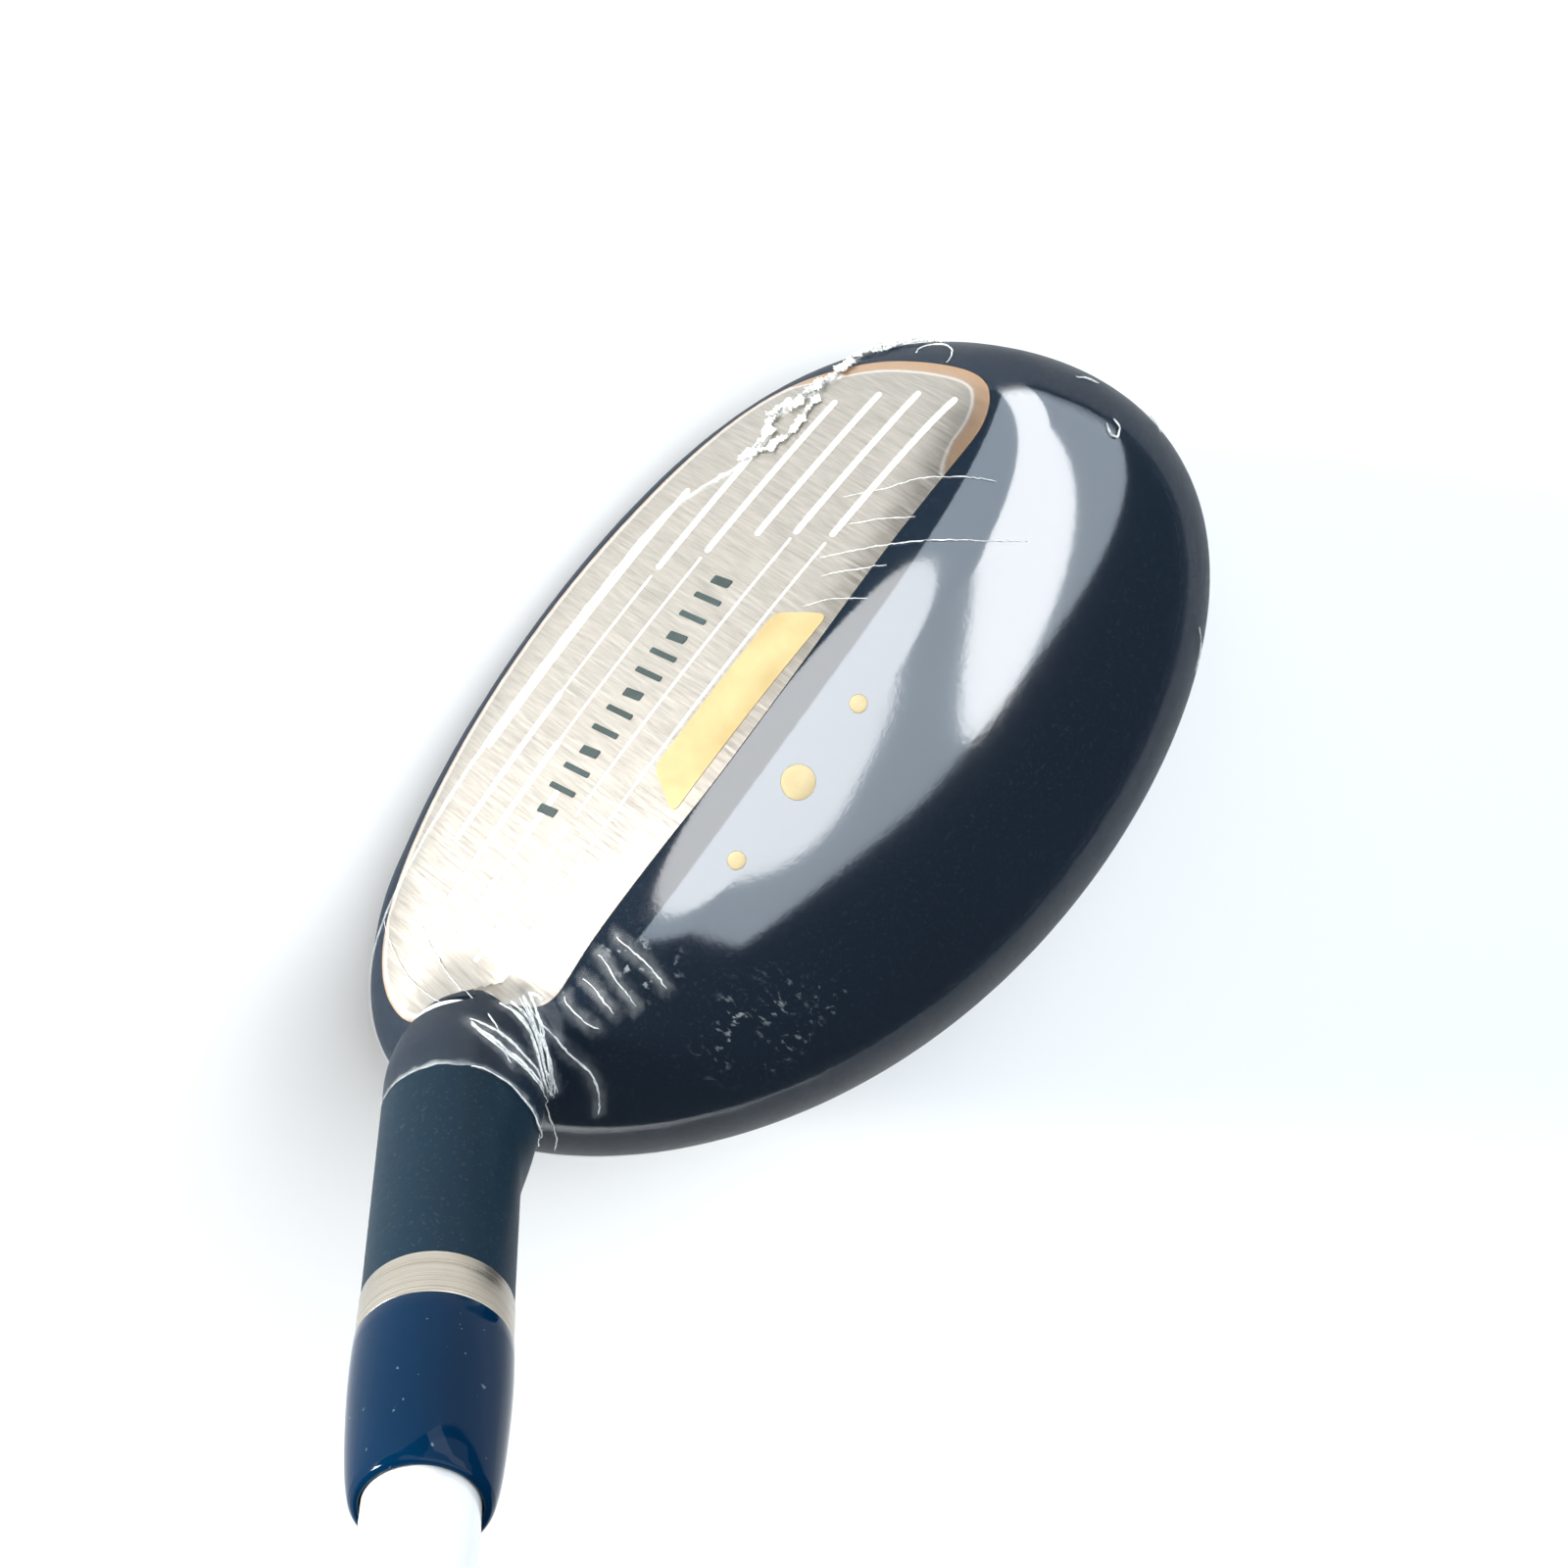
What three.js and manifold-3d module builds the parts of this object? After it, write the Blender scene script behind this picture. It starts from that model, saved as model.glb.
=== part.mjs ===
// Hybrid golf club, right-handed, standing at address. Millimetres, +Z up.
// Frame: the ground is z = 0, the face looks towards -Y, the heel and the shaft lie towards +X, the toe towards -X.
// Origin: the point of the flat of the sole directly below the centre of the face.
import * as THREE from "three";
import { mergeVertices } from "three/addons/utils/BufferGeometryUtils.js";
import Module from "manifold-3d";

// ---------- driving dimensions ----------
const LOFT = THREE.MathUtils.degToRad(23.844); // face leans back from the vertical
const LIE = THREE.MathUtils.degToRad(60.784); // shaft axis above the ground, in the XZ plane
const FACE_HEIGHT = 17; // centre of the face above the ground
const BULGE_R = 310.5; // face curvature, heel to toe
const ROLL_R = 274.6; // face curvature, sole to crown
const FACE_PLATE_T = 2.6;
const GROOVE_TOP = 11.18; // first score line above the face centre, measured along the face
const GROOVE_PITCH = 3.815;
const GROOVE_W = 0.7;
const GROOVE_DEPTH = 0.35;
const AXIS_FOOT = new THREE.Vector3(25.61, 6.784, 0); // where the shaft axis meets the ground
const HOSEL_TOP = 66.29; // all the following lengths run along the shaft axis from the ground
const RING_TOP = 71.26;
const FERRULE_TOP = 88.77;
const BORE_BOTTOM = 30;
const CLUB_LENGTH = 978; // ground to the end of the grip cap, 38.5 in
const HOSEL_R = 6.61;
const RING_R = 6.71;
const FERRULE_R = 6.82;
const BORE_R = 5.3;
const SHAFT_TIP_R = 4.7; // 0.370 in tip
const SHAFT_BUTT_R = 7.5;
const SHAFT_WALL = 1.2;
const GRIP_LENGTH = 265;
const GRIP_MOUTH_R = 9.6;
const GRIP_BUTT_R = 12.9;
const CAP_T = 6;
const WALL = 1.7; // head shell
const SOLE_T = 2.2;
const GAP = 0.3; // between neighbouring pieces

// ---------- manifold helpers ----------
const wasm = await Module();
wasm.setup();
const solid = (geometry) => {
  const g = geometry.clone();
  for (const n of ["normal", "uv", "uv1"]) if (g.getAttribute(n)) g.deleteAttribute(n);
  const m = mergeVertices(g, 1e-4);
  return new wasm.Manifold(new wasm.Mesh({
    numProp: 3,
    vertProperties: new Float32Array(m.attributes.position.array),
    triVerts: new Uint32Array(m.index.array),
  }));
};
const surface = (manifold) => {
  const m = manifold.getMesh();
  const g = new THREE.BufferGeometry();
  const n = m.vertProperties.length / m.numProp;
  const p = new Float32Array(n * 3);
  for (let i = 0; i < n; i++) for (let k = 0; k < 3; k++) p[3 * i + k] = m.vertProperties[i * m.numProp + k];
  g.setAttribute("position", new THREE.BufferAttribute(p, 3));
  g.setIndex(new THREE.BufferAttribute(new Uint32Array(m.triVerts), 1));
  const flat = g.toNonIndexed();
  flat.computeVertexNormals();
  return flat;
};
const moved = (geometry, fn) => {
  const p = geometry.attributes.position, v = new THREE.Vector3();
  for (let i = 0; i < p.count; i++) {
    v.fromBufferAttribute(p, i);
    fn(v);
    p.setXYZ(i, v.x, v.y, v.z);
  }
  return geometry;
};

// ---------- shaft axis ----------
const AXIS = new THREE.Vector3(Math.cos(LIE), 0, Math.sin(LIE));
const AXIS_X = new THREE.Vector3(0, 1, 0); // across the shaft, towards the back of the head
const AXIS_Z = new THREE.Vector3().crossVectors(AXIS_X, AXIS);
const axisFrame = new THREE.Matrix4().makeBasis(AXIS_X, AXIS, AXIS_Z).setPosition(AXIS_FOOT);
// A turned piece on the shaft axis: points are [radius, distance along the axis], closed on themselves.
const turned = (points, segments = 24) =>
  new THREE.LatheGeometry(points.map(([r, t]) => new THREE.Vector2(r, t)), segments).applyMatrix4(axisFrame);
const tube = (outer, inner, segments) => {
  // outer: [[r, t], ...] upwards; inner the same; joined into one closed ring profile
  const loop = [...outer, ...inner.slice().reverse()];
  return turned([...loop, loop[0]], segments);
};

// ---------- head surface ----------
// A rounded body about BLOB_C: plan outline Q = 1, crown above the widest line, sole below it.
const BLOB = { cx: -5.1468, cy: 22.8559, q20: 0.891, q11: 0.3081, q02: 2.268, q30: -0.1379, q21: 0.1793, q12: 0.0939, q03: 0.1485, q40: 0.1781, q31: 0.3435, q22: 0.2773, q13: -0.167, q04: -0.0316, m: 1.1876, n: 2.3906, zt: 36.4003, e0: 17.0179, ex: -0.0416, ey: -0.0469, zb: -0.8761, zy: 0.055, m2: 2.204, n2: 2.3137, tx: 0.0106, ty: -0.0214 };
const gauge = (x, y, z) => {
  const b = BLOB, dx = x - b.cx, dy = y - b.cy, X = dx / 50, Y = dy / 50;
  let q = b.q20 * X * X + b.q11 * X * Y + b.q02 * Y * Y + b.q30 * X ** 3 + b.q21 * X * X * Y + b.q12 * X * Y * Y + b.q03 * Y ** 3 +
    b.q40 * X ** 4 + b.q31 * X ** 3 * Y + b.q22 * X * X * Y * Y + b.q13 * X * Y ** 3 + b.q04 * Y ** 4;
  q = Math.min(Math.max(q, 1e-9), 9);
  const ze = b.e0 + b.ex * dx + b.ey * dy, top = b.zt + b.tx * dx + b.ty * dy, h = z - ze;
  return h >= 0
    ? Math.pow(q ** b.m + (h / Math.max(top - ze, 5)) ** b.n, 0.5 / b.m) - 1
    : Math.pow(q ** b.m2 + (-h / Math.max(ze - (b.zb + b.zy * dy), 3)) ** b.n2, 0.5 / b.m2) - 1;
};
const distance = (x, y, z) => {
  const e = 0.05, f = gauge(x, y, z);
  const g = Math.hypot(gauge(x + e, y, z) - f, gauge(x, y + e, z) - f, gauge(x, y, z + e) - f) / e;
  return f / Math.max(g, 1 / 80);
};
// The rounded body as a solid, grown by `offset`: a unit sphere whose points are pushed out to the surface.
const body = (offset, detail) => {
  const g = new THREE.IcosahedronGeometry(1, detail);
  return solid(moved(g, (v) => {
    const dx = v.x * 50, dy = v.y * 33, dz = v.z * 20;
    let lo = 0.3, hi = 1.7;
    for (let i = 0; i < 40; i++) {
      const s = (lo + hi) / 2;
      if (distance(BLOB.cx + dx * s, BLOB.cy + dy * s, 16 + dz * s) > offset) hi = s; else lo = s;
    }
    v.set(BLOB.cx + dx * lo, BLOB.cy + dy * lo, 16 + dz * lo);
  }));
};

// ---------- face surface ----------
const FACE_N = new THREE.Vector3(0, -Math.cos(LOFT), Math.sin(LOFT));
const FACE_V = new THREE.Vector3(0, Math.sin(LOFT), Math.cos(LOFT));
// a runs to the heel, b up the face, w out of the face
const onFace = (a, b, w = 0, out = new THREE.Vector3()) =>
  out.set(a, 0, FACE_HEIGHT).addScaledVector(FACE_V, b).addScaledVector(FACE_N, w - (a * a) / (2 * BULGE_R) - (b * b) / (2 * ROLL_R));
const faceSlab = (w0, w1, na = 14, nb = 6) =>
  solid(moved(new THREE.BoxGeometry(140, 80, 1, na, nb, 1), (v) => onFace(v.x, v.y + 5, v.z > 0 ? w1 : w0, v)));
const faceFrame = new THREE.Matrix4().makeBasis(new THREE.Vector3(1, 0, 0), FACE_V, FACE_N).setPosition(0, 0, FACE_HEIGHT);
const facePrism = (shape, w0 = -16, w1 = 8, curve = 6) =>
  solid(new THREE.ExtrudeGeometry(shape, { depth: w1 - w0, bevelEnabled: false, curveSegments: curve }).translate(0, 0, w0).applyMatrix4(faceFrame));
const FACE_OUTLINE = [[-40.3, 13.3], [-38.6, 14.6], [-35.6, 15.7], [-28.9, 16.5], [-19.9, 17.2], [-8, 18.1], [5.1, 18.4], [16, 17.8], [25, 17.2], [32.1, 17], [34.6, 15.6],
  [37.1, 12.2], [40.7, 7.6], [42.5, 3.8], [42.2, -0.1], [40.3, -3.4], [36.6, -6.3], [30, -9.1], [20, -11.4], [10.1, -12.7], [-1, -13.1], [-12.9, -12.3], [-21.3, -11.2],
  [-27.5, -9.6], [-31.6, -7.3], [-34.7, -4.4], [-37.9, -0.3], [-39.9, 4.1], [-41.4, 9.2], [-41.1, 12.1]];
const outlineShape = (grow) => {
  // each corner moves outwards along the bisector of its neighbours
  const P = FACE_OUTLINE.map(([a, b]) => new THREE.Vector2(a, b)), n = P.length;
  return new THREE.Shape(P.map((p, i) => {
    const t = new THREE.Vector2().subVectors(P[(i + 1) % n], P[(i + n - 1) % n]).normalize();
    return new THREE.Vector2(p.x - t.y * grow, p.y + t.x * grow);
  }));
};
const capsule = (a0, a1, b, w) => {
  const s = new THREE.Shape(), r = w / 2;
  s.moveTo(a0, b - r);
  s.lineTo(a1, b - r);
  s.absarc(a1, b, r, -Math.PI / 2, Math.PI / 2, false);
  s.lineTo(a0, b + r);
  s.absarc(a0, b, r, Math.PI / 2, (3 * Math.PI) / 2, false);
  return s;
};

// ---------- collected pieces ----------
const club = new THREE.Group();
const add = (name, geometry, color, roughness, metalness) => {
  const mesh = new THREE.Mesh(geometry, new THREE.MeshStandardMaterial({ color, roughness, metalness }));
  mesh.name = name;
  club.add(mesh);
  return mesh;
};

// face plate: curved slab cut to the outline, with the toe and heel runs of each score line
const GROOVES = [[-37.8, -19.9], [-36.5, -18.3], [-34.5, -16.2], [-31.6, -12.1], [-24, -8.1], [-16.1, 16.1]];
let grooves = null;
GROOVES.forEach(([a0, a1], i) => {
  const b = GROOVE_TOP - i * GROOVE_PITCH;
  const runs = i < 5 ? [[a0, a1], [-a1, Math.min(-a0, [31, 34, 34, 31.6, 24][i])]] : [[a0, a1]];
  for (const [p, q] of runs) {
    const one = facePrism(capsule(p, q, b, GROOVE_W), -6, 4, 2);
    grooves = grooves ? grooves.add(one) : one;
  }
});
grooves = grooves.intersect(faceSlab(-GROOVE_DEPTH, 3));
const plate = facePrism(outlineShape(0)).intersect(faceSlab(-FACE_PLATE_T, 0)).subtract(grooves);
add("face_plate", surface(plate), 0xd2cdc3, 0.35, 1);

// head shell: rounded body and flared neck trimmed by the face and the ground, then the hosel
const flare = [];
for (let t = 8; t <= 50; t += 6) {
  let r = HOSEL_R + 0.051 * 2 * Math.log1p(Math.exp((46.48 - t) / 2));
  if (t < 14) r -= (14 - t) ** 2 * 0.03;
  flare.push([r, t]);
}
const neck = solid(turned([[0, 8], ...flare, [0, 50]], 28));
const hosel = solid(turned([[0, 28], [3.6, 29.8], [5.4, 32.8], [6.25, 36], [HOSEL_R, 40], [HOSEL_R, HOSEL_TOP], [0, HOSEL_TOP]], 28));
const faceFront = faceSlab(0, 60);
const ground = solid(new THREE.BoxGeometry(400, 400, 40).translate(0, 0, -20));
const outside = body(0.15, 9).add(neck).subtract(faceFront).subtract(ground).add(hosel);
const inside = body(-WALL, 6).subtract(faceSlab(-FACE_PLATE_T - 0.9, 60)).subtract(solid(new THREE.BoxGeometry(400, 400, 40).translate(0, 0, -20 + SOLE_T + GAP + 1.2)));
const hoselCore = solid(turned([[0, BORE_BOTTOM - 3], [7.4, BORE_BOTTOM - 3], [7.4, 48], [0, 48]], 20)); // metal kept round the bore
const faceHole = facePrism(outlineShape(GAP)).intersect(faceSlab(-FACE_PLATE_T - GAP, 8)); // the seat of the plate
const window_ = facePrism(outlineShape(-2.6), -14, 8); // behind the plate the casting is open
const bore = solid(turned([[0, BORE_BOTTOM], [BORE_R, BORE_BOTTOM], [BORE_R, 80], [0, 80]], 24));

// sole plate: an oval let into the casting from below, flat at the ground
const SOLE_C = [-4, 21];
const ellipse = (rx, ry, n = 32) => new THREE.Shape(Array.from({ length: n }, (_, i) => {
  const u = (i / n) * 2 * Math.PI;
  return new THREE.Vector2(SOLE_C[0] + rx * Math.cos(u), SOLE_C[1] + ry * Math.sin(u));
}));
const upright = (shape, z0, z1) => solid(new THREE.ExtrudeGeometry(shape, { depth: z1 - z0, bevelEnabled: false, curveSegments: 8 }).translate(0, 0, z0));
const SOLE_RX = 29, SOLE_RY = 13.5;
const soleHole = upright(ellipse(SOLE_RX + GAP, SOLE_RY + GAP), -5, SOLE_T + GAP);
const soleWindow = upright(ellipse(SOLE_RX - 3, SOLE_RY - 3), -5, 9); // a ledge 3 wide carries the plate
const shell = outside
  .subtract(inside.subtract(hoselCore))
  .subtract(faceHole)
  .subtract(window_.subtract(hoselCore).subtract(solid(new THREE.BoxGeometry(400, 400, 40).translate(0, 0, -20 + SOLE_T + GAP + 1.2))))
  .subtract(soleHole)
  .subtract(soleWindow)
  .subtract(bore);
const biggest = (m) => m.decompose().sort((a, b) => b.volume() - a.volume())[0];

// gold alignment dots let into the crown, a large one between two small ones
const DOTS = [["crown_dot_toe", -7.815, 0.88], ["crown_dot_centre", 1.6, 1.7], ["crown_dot_heel", 11.015, 0.88]];
const DOT_Y = 14.14;
const crownZ = (x, y) => {
  let lo = 20, hi = 42;
  for (let i = 0; i < 40; i++) { const z = (lo + hi) / 2; if (distance(x, y, z) > 0) hi = z; else lo = z; }
  return lo;
};
let shellCut = shell;
for (const [name, x, r] of DOTS) {
  const z = crownZ(x, DOT_Y);
  shellCut = shellCut.subtract(solid(new THREE.CylinderGeometry(r + 0.2, r + 0.2, 4, 20).rotateX(Math.PI / 2).translate(x, DOT_Y, z + 1.4)));
  add(name, new THREE.CylinderGeometry(r, r, 0.5, 20).rotateX(Math.PI / 2).translate(x, DOT_Y, z - 0.1), 0xf0e0b4, 0.4, 0.8);
}
add("head_shell", surface(biggest(shellCut)), 0x323f48, 0.18, 0.6);

const screwX = -4, screwY = 21, SCREW_R = 5.2;
const disc = (r, z0, z1, seg = 28) => solid(new THREE.CylinderGeometry(r, r, z1 - z0, seg).rotateX(Math.PI / 2).translate(screwX, screwY, (z0 + z1) / 2));
const sole = upright(ellipse(SOLE_RX, SOLE_RY), 0, SOLE_T).subtract(disc(SCREW_R + GAP, -1, SOLE_T + 1));
add("sole_plate", surface(sole), 0x8d8f92, 0.4, 1);
// boss welded over the hole in the sole plate, which takes the weight screw
const boss = disc(9, SOLE_T + GAP, 9.5).subtract(disc(3.6, 0, 8));
add("weight_boss", surface(boss), 0x77797c, 0.5, 1);
const hex = upright(new THREE.Shape(Array.from({ length: 6 }, (_, i) => new THREE.Vector2(screwX + 2.3 * Math.cos(i * Math.PI / 3), screwY + 2.3 * Math.sin(i * Math.PI / 3)))), -1, 1.8);
add("weight_screw", surface(disc(SCREW_R, 0.15, SOLE_T).add(disc(3.3, SOLE_T - 0.2, 7.6, 20)).subtract(hex)), 0xb9bcc0, 0.3, 1);
add("damping_pad", surface(solid(new THREE.LatheGeometry([[0, 0], [5.6, 0], [5.2, 1.6], [3.6, 3.2], [0, 4]].map(([r, z]) => new THREE.Vector2(r, z)), 20).rotateX(Math.PI / 2).translate(-20, 21, SOLE_T + GAP))), 0xc9b27a, 0.6, 0);

// a gold patch and a plain printed mark on the face
const patch = new THREE.Shape([[-13, 16.9], [-10.3, 11.9], [8.6, 11.9], [11.2, 16.9]].map(([a, b]) => new THREE.Vector2(a, b)));
add("face_patch", surface(facePrism(patch).intersect(faceSlab(0.15, 0.4))), 0xf0dfb0, 0.3, 0.9);
add("face_mark", surface(facePrism(capsule(-9.3, 18.1, 4, 3)).intersect(faceSlab(0.15, 0.4))), 0x22384f, 0.4, 0.2);

// shrink film over the crown and the face, torn open along the toe
const skin = body(1.05, 9).subtract(faceSlab(0.85, 60)).subtract(body(0.7, 9).subtract(faceSlab(0.55, 60)));
const tearShape = new THREE.Shape([[-90, -40], [-31, -40], [-30, -9], [-27, -3], [-31, 2], [-29, 7], [-33, 11], [-34, 14], [-38, 16.5], [-39, 23], [-90, 24]].map(([a, b]) => new THREE.Vector2(a, b)));
const filmOut = turnedClear(9.6, 15, 80);
const film = skin
  .subtract(solid(new THREE.BoxGeometry(400, 400, 60).translate(0, 0, -30 + 9)))
  .subtract(solid(new THREE.BoxGeometry(400, 400, 60).translate(0, 200 + 8, -30 + 21)))
  .subtract(facePrism(tearShape, -14, 8))
  .subtract(filmOut);
add("protective_film", surface(biggest(film)), 0xffffff, 0.1, 0);
function turnedClear(r, t0, t1) {
  return solid(turned([[0, t0], [r, t0], [r + 1.2, 34], [r, t1], [0, t1]], 24));
}

// ---------- pieces on the shaft axis ----------
add("trim_ring", tube([[RING_R, HOSEL_TOP + GAP], [RING_R, RING_TOP - 0.1]], [[5.1, HOSEL_TOP + GAP], [5.1, RING_TOP - 0.1]], 28), 0xbdb5aa, 0.35, 1);
add("ferrule", tube([[FERRULE_R, RING_TOP + 0.2], [FERRULE_R + 0.05, 76], [6.72, 81], [6.45, 85], [6.05, 87.6], [5.6, FERRULE_TOP]], [[5.1, RING_TOP + 0.2], [5.1, FERRULE_TOP]], 28), 0x143c61, 0.15, 0);
const shaftEnd = CLUB_LENGTH - CAP_T - GAP;
const shaftR = (t) => (t < 88.77 ? SHAFT_TIP_R + ((t - BORE_BOTTOM) / 58.77) * 0.14 : 4.84 + ((SHAFT_BUTT_R - 4.84) * (t - 88.77)) / (shaftEnd - 88.77));
const shaftStops = [BORE_BOTTOM + GAP, 88.77, 400, shaftEnd];
add("shaft", tube(shaftStops.map((t) => [shaftR(t), t]), shaftStops.map((t) => [t < 100 ? 2.6 : shaftR(t) - SHAFT_WALL, t]), 24), 0xf2f2f0, 0.25, 0);
add("epoxy_sleeve", tube([[BORE_R - 0.12, 33], [BORE_R - 0.12, 65.5]], [[4.92, 33], [4.92, 65.5]], 24), 0xc8b98c, 0.4, 0);
add("tip_weight", turned([[0, 31], [2.2, 31], [2.2, 46], [1.4, 49], [0, 49]], 16), 0xb08d45, 0.35, 1);

const gripStart = CLUB_LENGTH - GRIP_LENGTH;
const tapeIn = (t) => shaftR(t) + 0.2, tapeOut = (t) => shaftR(t) + 0.5, gripIn = (t) => shaftR(t) + 0.7;
add("grip_tape", tube([[tapeOut(gripStart + 4), gripStart + 4], [tapeOut(shaftEnd - 2), shaftEnd - 2]], [[tapeIn(gripStart + 4), gripStart + 4], [tapeIn(shaftEnd - 2), shaftEnd - 2]], 24), 0xd8d2c0, 0.8, 0);
const gripT = [gripStart, gripStart + 1.2, gripStart + 10, gripStart + 90, gripStart + 200, shaftEnd - 8, shaftEnd];
const gripR = [GRIP_MOUTH_R - 0.7, GRIP_MOUTH_R, 9.9, 10.9, 12.3, 12.8, GRIP_BUTT_R];
add("grip", tube(gripT.map((t, i) => [gripR[i], t]), [gripStart, shaftEnd].map((t) => [gripIn(t), t]), 32), 0x1f2b3a, 0.85, 0);
add("grip_cap", tube([[6.0, CLUB_LENGTH - CAP_T], [GRIP_BUTT_R, CLUB_LENGTH - CAP_T], [GRIP_BUTT_R + 0.3, CLUB_LENGTH - 4], [12.6, CLUB_LENGTH - 1.4], [11, CLUB_LENGTH]], [[1.2, CLUB_LENGTH - CAP_T], [1.2, CLUB_LENGTH]], 32), 0x1b2736, 0.8, 0);

export default club;
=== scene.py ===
import bpy, bmesh, math
import numpy as np
from mathutils import Vector, Matrix


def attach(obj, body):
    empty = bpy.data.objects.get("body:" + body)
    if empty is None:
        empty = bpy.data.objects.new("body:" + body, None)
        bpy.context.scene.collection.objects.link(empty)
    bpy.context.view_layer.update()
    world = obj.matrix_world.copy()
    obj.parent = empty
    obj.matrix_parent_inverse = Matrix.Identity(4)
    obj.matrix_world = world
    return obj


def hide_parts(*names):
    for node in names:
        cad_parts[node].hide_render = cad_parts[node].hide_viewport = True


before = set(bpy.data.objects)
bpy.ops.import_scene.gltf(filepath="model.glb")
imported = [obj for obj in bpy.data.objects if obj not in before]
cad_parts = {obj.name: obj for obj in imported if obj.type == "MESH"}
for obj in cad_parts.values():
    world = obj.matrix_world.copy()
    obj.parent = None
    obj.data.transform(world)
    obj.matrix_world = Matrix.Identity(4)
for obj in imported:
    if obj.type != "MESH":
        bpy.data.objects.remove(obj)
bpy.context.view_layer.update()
MM = 0.001

# ------------------------------------------------------------------ the club's own dimensions (mm), as in the CAD
LOFT, LIE = math.radians(23.844), math.radians(60.784)
FV = np.array([0, math.sin(LOFT), math.cos(LOFT)])
FN = np.array([0, -math.cos(LOFT), math.sin(LOFT)])
FC = np.array([0, 0, 17.0])
BULGE, ROLL = 310.5, 274.6
AO = np.array([25.61, 6.784, 0.0])
AS = np.array([math.cos(LIE), 0, math.sin(LIE)])
AX = np.array([0, 1.0, 0])
AZ = np.cross(AX, AS)
HOSEL_TOP, RING_TOP, FERRULE_TOP, CLUB_LENGTH = 66.29, 71.26, 88.77, 978.0
HOSEL_R, RING_R, FERRULE_R, BORE_R = 6.61, 6.71, 6.82, 5.3
FACE_T, SOLE_T = 2.6, 2.2
GROOVE_TOP, GROOVE_PITCH = 11.18, 3.815
Bp = dict(cx=-5.1468, cy=22.8559, q20=0.891, q11=0.3081, q02=2.268, q30=-0.1379, q21=0.1793, q12=0.0939, q03=0.1485, q40=0.1781, q31=0.3435, q22=0.2773, q13=-0.167, q04=-0.0316, m=1.1876, n=2.3906, zt=36.4003, e0=17.0179, ex=-0.0416, ey=-0.0469, zb=-0.8761, zy=0.055, m2=2.204, n2=2.3137, tx=0.0106, ty=-0.0214)


# ------------------------------------------------------------------ head surface as a distance field
def gauge(P):
    b = Bp
    dx, dy = P[..., 0] - b["cx"], P[..., 1] - b["cy"]
    X, Y = dx / 50, dy / 50
    Q = b["q20"] * X * X + b["q11"] * X * Y + b["q02"] * Y * Y + b["q30"] * X**3 + b["q21"] * X * X * Y + b["q12"] * X * Y * Y + b["q03"] * Y**3 + b["q40"] * X**4 + b["q31"] * X**3 * Y + b["q22"] * X * X * Y * Y + b["q13"] * X * Y**3 + b["q04"] * Y**4
    Q = np.clip(Q, 1e-9, 9)
    ze = b["e0"] + b["ex"] * dx + b["ey"] * dy
    top = b["zt"] + b["tx"] * dx + b["ty"] * dy
    h = P[..., 2] - ze
    up = np.clip(h, 0, None) / np.clip(top - ze, 5, None)
    dn = np.clip(-h, 0, None) / np.clip(ze - (b["zb"] + b["zy"] * dy), 3, None)
    return np.where(h >= 0, (Q ** b["m"] + up ** b["n"]) ** (0.5 / b["m"]), (Q ** b["m2"] + dn ** b["n2"]) ** (0.5 / b["m2"])) - 1


def blob(P):
    e = 0.05
    f = gauge(P)
    g2 = 0
    for i in range(3):
        D = np.zeros(3)
        D[i] = e
        g2 = g2 + ((gauge(P + D) - f) / e) ** 2
    return f / np.maximum(np.sqrt(g2), 1 / 80.0)


def smin(a, b, k):
    h = np.clip(0.5 + 0.5 * (b - a) / k, 0, 1)
    return b * (1 - h) + a * h - k * h * (1 - h)


def smax(a, b, k):
    return -smin(-a, -b, k)


def face_f(P):
    q = P - FC
    b = q @ FV
    return q @ FN + q[..., 0] ** 2 / (2 * BULGE) + b * b / (2 * ROLL)


def axis_tr(P):
    q = P - AO
    t = q @ AS
    return t, np.linalg.norm(q - t[..., None] * AS, axis=-1)


NECK = (0.051, 46.48, 27.344, 11.453, 2.48, 7.276, 5.0)


def head_f(P):
    sl, tk, tn, ln, k1, k2, kf = NECK
    t, r = axis_tr(P)
    rl = HOSEL_R + sl * 2.0 * np.log1p(np.exp(np.clip((tk - t) / 2.0, -30, 30)))
    rl = np.where(t < 14, rl - (14 - t) ** 2 * 0.03, rl)
    low = np.maximum(r - rl, t - (tk + 6))
    h = smax(smin(blob(P), low, k1), face_f(P), kf)
    u = np.clip((tn + ln - t) / ln, 0, 1.5)
    ru = HOSEL_R * np.sqrt(np.clip(1 - u * u, 0, 1))
    up = np.where(t < tn, np.hypot(r, t - tn), r - ru)
    f = smin(h, np.maximum(up, t - HOSEL_TOP - 4), k2)
    return smax(f, -P[..., 2], 1.0)


def grad(F, P, e=0.03):
    g = np.stack([F(P + np.eye(3)[i] * e) - F(P - np.eye(3)[i] * e) for i in range(3)], -1) / (2 * e)
    return g


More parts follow.
